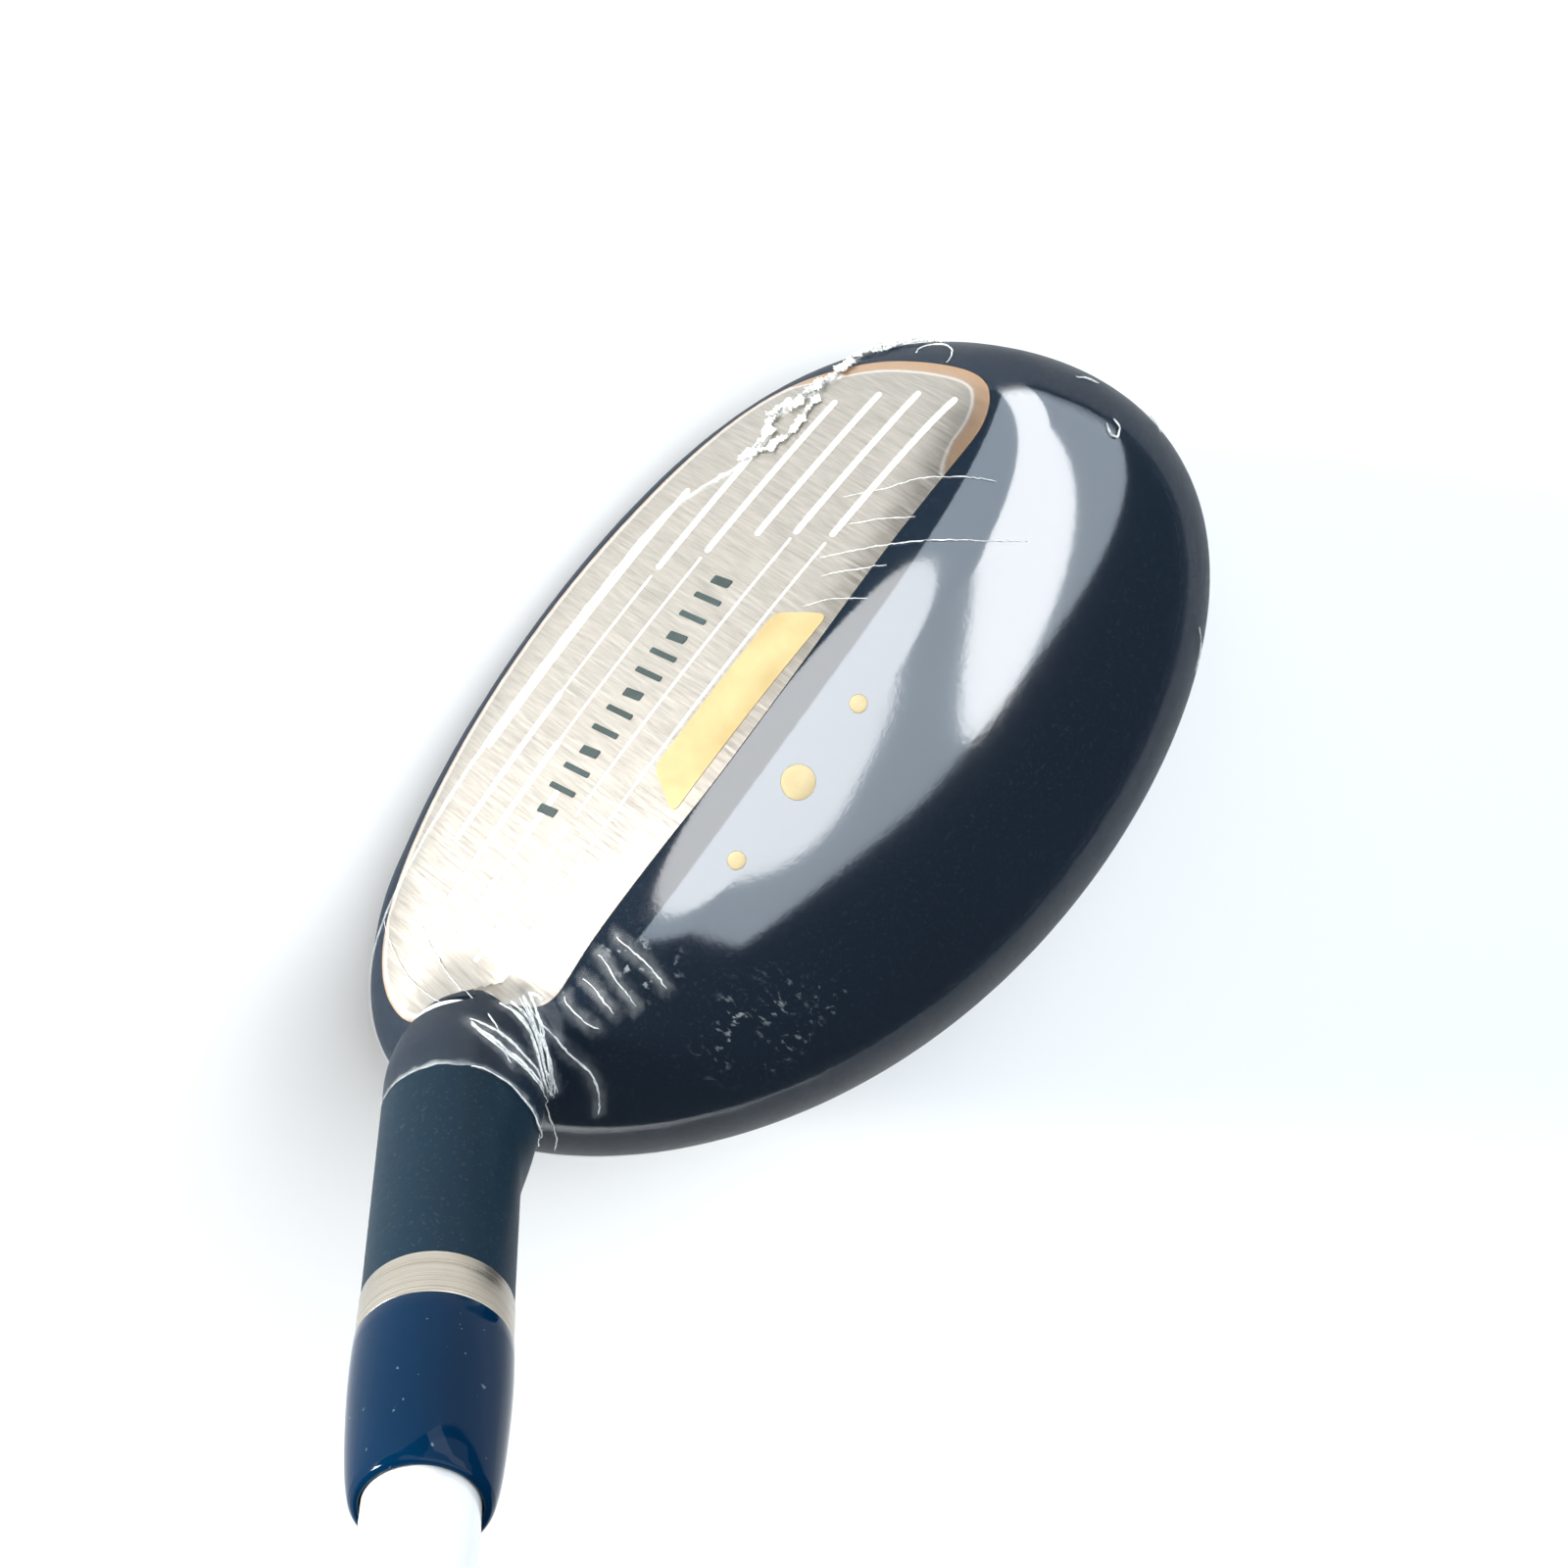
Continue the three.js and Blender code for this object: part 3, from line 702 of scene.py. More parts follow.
M_navy = navy_paint()
M_face = brushed_face()
M_fill = paint("score_fill_white", srgb(216, 214, 208), srgb(228, 227, 222), 0.5, 300, 0.1)
M_thin = paint("score_thin", srgb(206, 203, 196), srgb(222, 220, 214), 0.42, 300, 0.08, metallic=0.3)
M_gold = paint("gold_inlay", srgb(190, 170, 126), srgb(200, 182, 138), 0.42, 400, 0.06, metallic=0.15)
M_patch = paint("gold_patch_ink", srgb(160, 142, 98), srgb(174, 157, 114), 0.4, 190, 0.06, coat=0.15, metallic=0.25)
M_mark = paint("mark_ink", srgb(34, 48, 46), srgb(44, 60, 60), 0.4, 300, 0.05)
M_ring = metal("ring_champagne", srgb(156, 144, 128), srgb(200, 193, 181), (0.22, 0.36), (40, 40, 5200), 0.5)
M_sole = metal("sole_brushed", srgb(120, 122, 125), srgb(160, 161, 163), (0.28, 0.45), (120, 3600, 120), 0.4, turned=False)
M_boss = metal("boss_steel", srgb(110, 112, 115), srgb(140, 141, 143), (0.4, 0.6), (400, 400, 400), 0.0, turned=False)
M_screw = metal("screw_steel", srgb(165, 167, 170), srgb(205, 206, 208), (0.2, 0.32), (500, 500, 500), 0.2, turned=False)
M_ferrule = ferrule_gloss()
M_shaft = shaft_paint()
M_grip = grip_rubber()
M_cap = paint("cap_rubber_moulded", srgb(22, 28, 38), srgb(30, 38, 50), 0.7, 260, 0.3, 2400, dist=0.0001)
M_epoxy = paint("epoxy_cured", srgb(196, 180, 132), srgb(214, 200, 156), 0.35, 300, 0.1)
M_brass = metal("tip_brass_turned", srgb(168, 134, 66), srgb(202, 168, 94), (0.25, 0.4), (60, 60, 4000), 0.3)
M_tape = paint("grip_tape_paper", srgb(206, 196, 170), srgb(224, 214, 190), 0.8, 400, 0.3)
M_melt = paint("hot_melt_wax", srgb(190, 160, 96), srgb(212, 184, 122), 0.4, 200, 0.3)
M_film = clear_film()
M_crease = film_crease()

# ------------------------------------------------------------------ head shell
HRES = 0.75
P, F = surface_nets(head_f, (-57, -13, -1.4), (66, 59, 68.6), HRES)
head = obj_from("head_shell_fine", P, F)
recalc(head)


def inner_f(P):
    t, r = axis_tr(P)
    f = np.maximum(np.maximum(head_f(P) + 1.7, 3.8 - P[..., 2]), face_f(P) + FACE_T + 1.2)
    core = np.maximum(r - 7.4, 27 - t)
    return np.maximum(f, -core)


Pi, Fi = surface_nets(inner_f, (-54, -9, 2.0), (56, 57, 40), 2.4)
cav = obj_from("cavity", Pi, Fi)
recalc(cav)
boolean(head, cav)
# hosel mouth: flat at HOSEL_TOP
lim = lathe("mouth_cut", [(0, HOSEL_TOP), (20, HOSEL_TOP), (20, HOSEL_TOP + 12), (0, HOSEL_TOP + 12)], 48)
boolean(head, lim)
bore = lathe("bore_cut", [(0, 30), (BORE_R, 30), (BORE_R, 80), (0, 80)], 64)
boolean(head, bore)


# face surface of the finished head: distance out of the ideal face along its normal
def face_height(a, b):
    lo, hi = np.full(a.shape, -6.0), np.full(a.shape, 5.0)
    for _ in range(28):
        mid = (lo + hi) / 2
        out = head_f(on_face(a, b, mid)) > 0
        hi = np.where(out, mid, hi)
        lo = np.where(out, lo, mid)
    return lo


HEAVY = [(-37.8, -19.9), (-36.5, -18.3), (-34.5, -16.2), (-31.6, -12.1), (-25.5, -8.1), (-16.1, 16.1)]
MARKED = 2  # the centre score line that gives way to the printed mark
HEEL_END = [31, 33.5, 34, 31.6, 25.5]
THIN = [(-18.6, 18.6), (-17.0, 17.0), (-14.9, 14.9), (-10.8, 15.6), (-6.8, 12.0)]


def cap_dist(a, b, a0, a1, bc):
    return np.hypot(a - np.clip(a, a0, a1), b - bc)


def groove(a, b):
    d = np.zeros(a.shape)
    for i, (p, q) in enumerate(HEAVY):
        bc = GROOVE_TOP - i * GROOVE_PITCH
        runs = [(p, q)] + ([(-q, HEEL_END[i])] if i < 5 else [])
        for (u, v) in runs:
            dd = cap_dist(a, b, u, v, bc)
            d = np.maximum(d, 0.12 * np.clip((0.37 - dd) / 0.07, 0, 1))
        if i < 5 and i != MARKED:
            dd = cap_dist(a, b, THIN[i][0], THIN[i][1], bc)
            d = np.maximum(d, 0.07 * np.clip((0.19 - dd) / 0.06, 0, 1))
    return d


Bs = set()
for i in range(6):
    bc = GROOVE_TOP - i * GROOVE_PITCH
    Bs |= {round(bc + s * v, 4) for v in (0, 0.10, 0.16, 0.23, 0.28, 0.33, 0.40) for s in (-1, 1)}
    Bs |= {round(bc + v, 4) for v in (1.0, 1.6, 2.2, 2.8)}
Bs |= {round(v, 4) for v in np.arange(-15.5, GROOVE_TOP - 5 * GROOVE_PITCH - 0.6, 0.7)} | {round(v, 4) for v in np.arange(GROOVE_TOP + 3.3, 20.6, 0.6)}
Bs = np.array(sorted(Bs))
As = set(np.round(np.arange(-44, 45.2, 0.7), 4))
for i, (p, q) in enumerate(HEAVY):
    ends = [p, q] + ([-q, HEEL_END[i]] if i < 5 else [])
    for e in ends:
        As |= {round(e + s * v, 4) for v in (0, 0.12, 0.22, 0.29, 0.34, 0.38) for s in (-1, 1)}
As = np.array(sorted(As))
keep = np.r_[True, np.diff(As) > 0.03]
As = As[keep]
GA, GB = np.meshgrid(As, Bs, indexing="ij")
W = face_height(GA, GB)
NECK_RISE = 1.8  # where the neck stands this far out of the face it grows over the plate
top = on_face(GA, GB, np.minimum(W + 0.02, NECK_RISE) - groove(GA, GB))
bot = on_face(GA, GB, -FACE_T)
plate = slab("face_plate_fine", As, Bs, top, bot)
trim = prism("trim", OUTLINE, flat_face(-16.0), flat_face(10.0))
boolean(plate, trim, "INTERSECT")
# its seat in the head, and the window behind it
seat = slab("seat", As, Bs, on_face(GA, GB, np.minimum(W + 0.3, NECK_RISE + 0.02)), on_face(GA, GB, -FACE_T - 0.06))
seat_trim = prism("seat_trim", grow(OUTLINE, 0.07), flat_face(-16.0), flat_face(10.0))
boolean(seat, seat_trim, "INTERSECT")
boolean(head, seat)
win = prism("window", grow(OUTLINE, -2.8)[::4], flat_face(-13.0), flat_face(5.0))
core_cut = lathe("core_cut", [(0, 20), (7.4, 20), (7.4, 60), (0, 60)], 48)
boolean(win, core_cut)
flo = obj_from("flo", [(-90, -60, -9), (90, -60, -9), (90, 60, -9), (-90, 60, -9), (-90, -60, 3.8), (90, -60, 3.8), (90, 60, 3.8), (-90, 60, 3.8)], [[0, 3, 2, 1], [4, 5, 6, 7], [0, 1, 5, 4], [1, 2, 6, 5], [2, 3, 7, 6], [3, 0, 4, 7]])
boolean(win, flo)
boolean(head, win)


# sole plate, its seat and the screw
def oval(rx, ry, n=128, c=(-4.0, 21.0)):
    u = np.linspace(0, 2 * np.pi, n, endpoint=False)
    return np.stack([c[0] + rx * np.cos(u), c[1] + ry * np.sin(u)], 1)


def at_z(z):
    return lambda L: np.column_stack([L, np.full(len(L), z)])


boolean(head, prism("s1", oval(29.06, 13.56), at_z(-4.0), at_z(SOLE_T + 0.05)))
boolean(head, prism("s2", oval(26, 10.5), at_z(-4.0), at_z(9.0)))


# alignment dots let into the crown
def crown_z(x, y):
    lo, hi = np.full(np.shape(x), 20.0), np.full(np.shape(x), 42.0)
    x, y = np.broadcast_arrays(np.asarray(x, float), np.asarray(y, float))
    for _ in range(30):
        mid = (lo + hi) / 2
        out = head_f(np.stack([x, y, mid], -1)) > 0
        hi = np.where(out, mid, hi)
        lo = np.where(out, lo, mid)
    return lo


def dot(name, x, y, r, rings=7, seg=64, lift=0.03, depth=0.42):
    verts, faces = [[x, y, float(crown_z(x, y)) + lift]], []
    for k in range(1, rings + 1):
        rr = r * k / rings
        for i in range(seg):
            a = 2 * math.pi * i / seg
            px, py = x + rr * math.cos(a), y + rr * math.sin(a)
            verts.append([px, py, 0])
    V = np.array(verts, float)
    V[1:, 2] = crown_z(V[1:, 0], V[1:, 1]) + lift
    V[-seg:, 2] -= 0.02
    n0 = len(V)
    low = V[-seg:].copy()
    low[:, 2] -= depth
    cen = V[:1].copy()
    cen[:, 2] -= depth
    V = np.vstack([V, low, cen])
    for i in range(seg):
        j = (i + 1) % seg
        faces.append([0, 1 + i, 1 + j])
        for k in range(1, rings):
            a, b = 1 + (k - 1) * seg, 1 + k * seg
            faces.append([a + i, b + i, b + j, a + j])
        a = 1 + (rings - 1) * seg
        faces.append([a + i, n0 + i, n0 + j, a + j])
        faces.append([n0 + j, n0 + i, n0 + seg])
    o = obj_from(name, V, faces)
    recalc(o)
    sharpen(o, 40)
    return o


DOTS = [("crown_dot_toe", -7.815, 0.88), ("crown_dot_centre", 1.6, 1.7), ("crown_dot_heel", 11.015, 0.88)]
dots = []
for nm, x, r in DOTS:
    L = np.array([[x + (r + 0.03) * math.cos(a), 14.14 + (r + 0.03) * math.sin(a)] for a in np.linspace(0, 2 * math.pi, 64, endpoint=False)])
    z = float(crown_z(x, 14.14))
    boolean(head, prism("pocket", L, at_z(z - 0.48), at_z(z + 3)))
    dots.append((dot(nm + "_fine", x, 14.14, r), nm))


# ---- exact shading: smooth surfaces take the field's own normal, cut walls stay crisp
def exact_normals(o, F, tol=0.03, extra=None):
    me = o.data
    me.shade_smooth()
    nv = len(me.vertices)
    co = np.zeros(nv * 3)
    me.vertices.foreach_get("co", co)
    co = co.reshape(-1, 3) / MM
    on = np.abs(F(co)) < tol
    g = np.zeros((nv, 3))
    g[on] = grad(F, co[on])
    g /= np.maximum(np.linalg.norm(g, axis=1), 1e-9)[:, None]
    nl = len(me.loops)
    vi = np.zeros(nl, np.int64)
    me.loops.foreach_get("vertex_index", vi)
    npoly = len(me.polygons)
    fn = np.zeros(npoly * 3)
    me.polygons.foreach_get("normal", fn)
    fn = fn.reshape(-1, 3)
    tot = np.zeros(npoly, np.int64)
    me.polygons.foreach_get("loop_total", tot)
    fidx = np.repeat(np.arange(npoly), tot)
    N = fn[fidx].copy()
    good = on[vi] & ((N * g[vi]).sum(1) > 0.80)
    N[good] = g[vi][good]
    me.normals_split_custom_set(N.tolist())
    return o


tidy(head)
exact_normals(head, head_f)
# the rear and toe flanks keep a satin lacquer: how far a point has turned from the crown to the flank
hv = np.zeros(len(head.data.vertices) * 3)
head.data.vertices.foreach_get("co", hv)
hn = grad(head_f, hv.reshape(-1, 3) / MM)
hn /= np.maximum(np.linalg.norm(hn, axis=1), 1e-9)[:, None]
turn = 2 * (hn @ np.array([0.2, -0.45, 0.87])) * hn[:, 2] - 0.87
fl = head.data.attributes.new("flank", "FLOAT", "POINT")
fl.data.foreach_set("value", np.where((hn[:, 1] > -0.25) | (hv[0::3] < -0.020), np.clip((0.20 - turn) / 0.12, 0, 1), 0.0))


def face_top_f(P):
    return head_f(P)


# the plate: sharp walls by angle, and the warm bevel's width as a value on its points (it also places the bevel's
# painted highlight line)
def rim_values(o):
    me = o.data
    co = np.zeros(len(me.vertices) * 3)
    me.vertices.foreach_get("co", co)
    co = co.reshape(-1, 3) / MM - FC
    ab = np.stack([co[:, 0], co @ FV], 1)
    seg = OUTLINE
    d = np.full(len(ab), 1e9)
    for s in range(0, len(seg)):
        d = np.minimum(d, np.hypot(ab[:, 0] - seg[s, 0], ab[:, 1] - seg[s, 1]))
    # bevel 1.5 mm wide, showing on the toe half and round the heel, fading out along the top line
    a = ab[:, 0]
    toe = np.clip((-27 - a) / 7, 0, 1)
    heel = np.clip((a - 33) / 4, 0, 1) * 0.6
    low = np.clip((-ab[:, 1] - 3) / 4, 0, 1) * 0.58
    w = np.maximum(np.maximum(toe, heel), low)
    val = np.clip(1 - d / 2.9, 0, 1) * w
    at = me.attributes.new("rim", "FLOAT", "POINT")
    at.data.foreach_set("value", val)


tidy(plate)
exact_normals(plate, head_f, 0.035)
plate.data.materials.clear()
for m_ in (M_face, M_fill, M_thin):
    plate.data.materials.append(m_)
rim_values(plate)
me = plate.data
npoly = len(me.polygons)
cen = np.zeros(npoly * 3)
me.polygons.foreach_get("center", cen)
cen = cen.reshape(-1, 3) / MM - FC
ca, cb, cw = cen[:, 0], cen @ FV, cen @ FN
surf = -(ca**2) / (2 * BULGE) - cb**2 / (2 * ROLL)
mi = np.zeros(npoly, np.int32)
near = cw > surf - 1.6
for i, (p, q) in enumerate(HEAVY):
    bc = GROOVE_TOP - i * GROOVE_PITCH
    for (u, v) in [(p, q)] + ([(-q, HEEL_END[i])] if i < 5 else []):
        mi[near & (cap_dist(ca, cb, u, v, bc) < 0.36)] = 1
    if i < 5 and i != MARKED:
        mi[near & (mi == 0) & (cap_dist(ca, cb, THIN[i][0], THIN[i][1], bc) < 0.185)] = 2
me.polygons.foreach_set("material_index", mi)
head.data.materials.clear()
head.data.materials.append(M_navy)


# ------------------------------------------------------------------ printed marks on the face
def decal(name, loop, lift0=0.03, lift1=0.07, step=0.6):
    a0, b0 = loop.min(0) - 0.5
    a1, b1 = loop.max(0) + 0.5
    A = np.arange(a0, a1 + step, step)
    Bv = np.arange(b0, b1 + step, step)
    ga, gb = np.meshgrid(A, Bv, indexing="ij")
    w = face_height(ga, gb) + 0.02
    s = slab(name, A, Bv, on_face(ga, gb, w + lift1), on_face(ga, gb, w + lift0))
    boolean(s, prism("dt", loop, flat_face(-16.0), flat_face(10.0)), "INTERSECT")
    tidy(s)
    sharpen(s, 40)
    return s


def rounded_loop(P, rad, n=8):
    return np.array(rounded(P, rad, n))


patch = decal("face_patch_fine", rounded_loop([(-13.0, 17.0), (-10.3, 11.9), (8.6, 11.9), (11.2, 16.9)], 1.1))
bars = []
NB = 13
for i in range(NB):
    a = -10.8 + i * (30.4 / NB)
    h = 1.75 if i % 3 else 1.15
    wd = 0.62 if i % 3 else 0.95
    bars.append(decal("bar%d" % i, rounded_loop([(a + 0.45, 4.0 - h), (a + 0.45 + wd, 4.0 - h), (a + 0.05 + wd, 4.0 + h), (a + 0.05, 4.0 + h)], 0.18, 5), step=0.8))
bm = bmesh.new()
for o in bars:
    bm.from_mesh(o.data)
mark = bpy.data.objects.new("face_mark_fine", bpy.data.meshes.new("face_mark_fine"))
bm.to_mesh(mark.data)
bm.free()
col.objects.link(mark)
for o in bars:
    bpy.data.objects.remove(o)
sharpen(mark, 40)

# ------------------------------------------------------------------ pieces on the shaft axis
ring = lathe("trim_ring_fine", rounded([(RING_R - 0.03, HOSEL_TOP + 0.07), (RING_R, HOSEL_TOP + 2.5), (RING_R, RING_TOP - 0.06), (5.15, RING_TOP - 0.06), (5.15, HOSEL_TOP + 0.07)], 0.16, 4), 128)
fer = [(FERRULE_R - 0.02, RING_TOP + 0.02)] + [(r, t) for r, t in [(6.86, 73.0), (6.88, 75.0), (6.86, 77.0), (6.79, 79.0), (6.69, 81.0), (6.57, 83.0), (6.42, 84.8), (6.26, 86.2), (6.08, 87.3), (5.88, 88.1), (5.6, 88.62), (5.28, 88.82), (4.99, 88.77)]] + [(4.95, 88.0), (5.0, RING_TOP + 0.02)]
ferrule = lathe("ferrule_fine", rounded(fer[:1] + fer[1:-2] + fer[-2:], 0.12, 3), 128, angle_sharp=50)


def shaft_r(t):
    e = CLUB_LENGTH - 6.3
    return 4.70 + (t - 30) / 58.77 * 0.14 if t < 88.77 else 4.84 + (7.5 - 4.84) * (t - 88.77) / (e - 88.77)


shaft_end = CLUB_LENGTH - 6.3
ts = [30.3, 60, 88.77] + list(np.linspace(110, shaft_end, 40))
outer = [(shaft_r(t), t) for t in ts]
innr = [(2.6 if t < 100 else shaft_r(t) - 1.2, t) for t in ts][::-1]
shaft = lathe("shaft_fine", outer + innr, 96)
epoxy = lathe("epoxy_fine", rounded([(5.18, 33), (5.18, 65.5), (4.92, 65.5), (4.92, 33)], 0.05, 3), 64)
tip = lathe("tip_weight_fine", [(0, 31)] + rounded([(0, 31), (2.2, 31), (2.2, 46), (1.4, 49), (0, 49)], 0.3, 4)[4:16] + [(0, 49)], 48)
g0 = CLUB_LENGTH - 265
tape = lathe("grip_tape_fine", rounded([(shaft_r(g0 + 4) + 0.5, g0 + 4), (shaft_r(shaft_end - 2) + 0.5, shaft_end - 2), (shaft_r(shaft_end - 2) + 0.2, shaft_end - 2), (shaft_r(g0 + 4) + 0.2, g0 + 4)], 0.06, 3), 64)


# grip: tapered sleeve with moulded grooves: rings near the mouth, crossing diamonds along the hand, plain bands
def grip_radius(t):
    return float(np.interp(t, [g0, g0 + 1.2, g0 + 10, g0 + 90, g0 + 200, shaft_end - 8, shaft_end], [8.95, 9.6, 9.9, 10.9, 12.3, 12.8, 12.85]))


def make_grip():
    seg = 192
    ts = np.unique(np.round(np.r_[np.linspace(g0, g0 + 3, 8), np.linspace(g0 + 3, shaft_end, 380)], 4))
    th = 2 * np.pi * np.arange(seg) / seg
    T, TH = np.meshgrid(ts, th, indexing="ij")
    R = np.interp(T, [g0, g0 + 1.2, g0 + 10, g0 + 90, g0 + 200, shaft_end - 8, shaft_end], [9.15, 9.6, 9.9, 10.9, 12.3, 12.8, 12.85])
    s = T - g0
    d = np.zeros(T.shape)
    for c in (14, 18, 22, 240, 244, 248):
        d = np.maximum(d, 0.55 * np.exp(-(((s - c) / 0.75) ** 2)))
    zone = np.clip((s - 30) / 3, 0, 1) * np.clip((232 - s) / 3, 0, 1)
    k = 9
    p1 = (s / 16.0 + TH * k / (2 * np.pi)) % 1.0
    p2 = (s / 16.0 - TH * k / (2 * np.pi)) % 1.0
    w1 = np.minimum(p1, 1 - p1)
    w2 = np.minimum(p2, 1 - p2)
    x = np.maximum(np.exp(-((w1 / 0.055) ** 2)), np.exp(-((w2 / 0.055) ** 2)))
    d = np.maximum(d, 0.42 * x * zone)
    # small pips inside each diamond
    c1, c2 = np.abs(((p1 + 0.5) % 1) - 0.5), np.abs(((p2 + 0.5) % 1) - 0.5)
    rr = np.hypot(w1 - 0.5, w2 - 0.5)
    d = np.maximum(d, 0.30 * np.exp(-((rr / 0.11) ** 2)) * zone)
    R = R - d
    V = AO + T[..., None] * AS + R[..., None] * (np.cos(TH)[..., None] * AX + np.sin(TH)[..., None] * AZ)
    n0 = V.shape[0]
    inn = []
    for t in (shaft_end, (g0 + shaft_end) / 2, g0):
        r = shaft_r(t) + 0.7
        inn.append(AO + t * AS + r * (np.cos(th)[:, None] * AX + np.sin(th)[:, None] * AZ))
    V = np.concatenate([V, np.array(inn)], 0)
    nn = V.shape[0]
    idx = np.arange(nn * seg).reshape(nn, seg)
    nxt = np.roll(idx, -1, 1)
    q = []
    for k in range(nn):
        k2 = (k + 1) % nn
        q.append(np.stack([idx[k], nxt[k], nxt[k2], idx[k2]], -1))
    o = obj_from("grip_fine", V.reshape(-1, 3), np.concatenate(q).tolist())
    recalc(o)
    sharpen(o, 50)
    return o


grip = make_grip()
cap = lathe("grip_cap_fine", rounded([(1.2, CLUB_LENGTH - 6), (12.86, CLUB_LENGTH - 6), (13.15, CLUB_LENGTH - 4.2), (12.6, CLUB_LENGTH - 1.4), (11.0, CLUB_LENGTH), (9.6, CLUB_LENGTH), (9.2, CLUB_LENGTH - 0.5), (8.6, CLUB_LENGTH - 0.5), (8.2, CLUB_LENGTH), (1.2, CLUB_LENGTH)], 0.5, 5), 128, angle_sharp=45)

# ------------------------------------------------------------------ sole
sole = prism("sole_plate_fine", oval(29, 13.5), at_z(0.0), at_z(SOLE_T))
boolean(sole, prism("sh", oval(5.5, 5.5, 64), at_z(-2.0), at_z(SOLE_T + 2)))
bv = sole.modifiers.new("bev", "BEVEL")
bv.width, bv.segments, bv.limit_method, bv.angle_limit = 0.00025, 2, "ANGLE", math.radians(60)


def apply_mods(o):
    bpy.context.view_layer.update()
    dg = bpy.context.evaluated_depsgraph_get()
    me = bpy.data.meshes.new_from_object(o.evaluated_get(dg))
    o.modifiers.clear()
    o.data = me


apply_mods(sole)
sharpen(sole, 40)


def upright_lathe(name, prof, cx, cy, seg=72, sharp=35):
    verts, rows, faces = [], [], []
    for r, z in prof:
        if r < 1e-6:
            rows.append([len(verts)] * seg)
            verts.append((cx, cy, z))
        else:
            rows.append(list(range(len(verts), len(verts) + seg)))
            verts += [(cx + r * math.cos(2 * math.pi * i / seg), cy + r * math.sin(2 * math.pi * i / seg), z) for i in range(seg)]
    for A, C in zip(rows, rows[1:]):
        for i in range(seg):
            j = (i + 1) % seg
            f = []
            for v in (A[i], A[j], C[j], C[i]):
                if v not in f:
                    f.append(v)
            if len(f) > 2:
                faces.append(f)
    o = obj_from(name, np.array(verts, float), faces)
    recalc(o)
    sharpen(o, sharp)
    return o


screw = upright_lathe("weight_screw_fine", [(0, 0.15), (4.75, 0.15), (5.0, 0.25), (5.12, 0.5), (5.12, 2.1), (3.3, 2.15), (3.3, 7.3), (3.0, 7.6), (0, 7.6)], -4, 21)
hexa = np.array([[-4 + 2.3 * math.cos(i * math.pi / 3), 21 + 2.3 * math.sin(i * math.pi / 3)] for i in range(6)])
boolean(screw, prism("hx", hexa, at_z(-1.0), at_z(1.8)))
sharpen(screw, 35)
melt = upright_lathe("damping_pad_fine", [(0, 2.55), (5.4, 2.55), (5.6, 2.8), (5.45, 3.5), (5.0, 4.3), (4.2, 5.1), (3.0, 5.8), (1.5, 6.3), (0, 6.45)], -20, 21)
rng = np.random.default_rng(4)
for v in melt.data.vertices:
    if v.co.z > 0.0029:
        v.co.z += 0.00035 * math.sin(v.co.x * 1900) * math.cos(v.co.y * 1700) - 0.0002
boss = upright_lathe("weight_boss_fine", [(3.62, 8.0), (3.62, 2.6), (8.8, 2.6), (9.0, 2.8), (9.0, 9.2), (8.7, 9.5), (0, 9.5), (0, 8.0), (3.62, 8.0)], -4, 21)

# ------------------------------------------------------------------ fixing everything to the frame
PIECES = [
    (head, "head_shell", "navy_paint", None), (plate, "face_plate", "brushed_face", None),
    (patch, "face_patch", "gold_patch", M_patch), (mark, "face_mark", "mark_ink", M_mark),
    (ring, "trim_ring", "ring_steel", M_ring), (ferrule, "ferrule", "ferrule_navy", M_ferrule), (shaft, "shaft", "shaft_white", M_shaft),
    (epoxy, "epoxy_sleeve", "epoxy", M_epoxy), (tip, "tip_weight", "tip_brass", M_brass), (tape, "grip_tape", "tape", M_tape),
    (grip, "grip", "grip_rubber", M_grip), (cap, "grip_cap", "cap_rubber", M_cap), (sole, "sole_plate", "sole_steel", M_sole),
    (screw, "weight_screw", "screw_steel", M_screw), (melt, "damping_pad", "hot_melt", M_melt), (boss, "weight_boss", "bare_steel", M_boss),
] + [(o, n, "gold", M_gold) for o, n in dots]
for o, node, sl, mt in PIECES:
    if mt is not None:
        o.data.materials.clear()
        o.data.materials.append(mt)
    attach(o, "root")
    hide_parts(node)
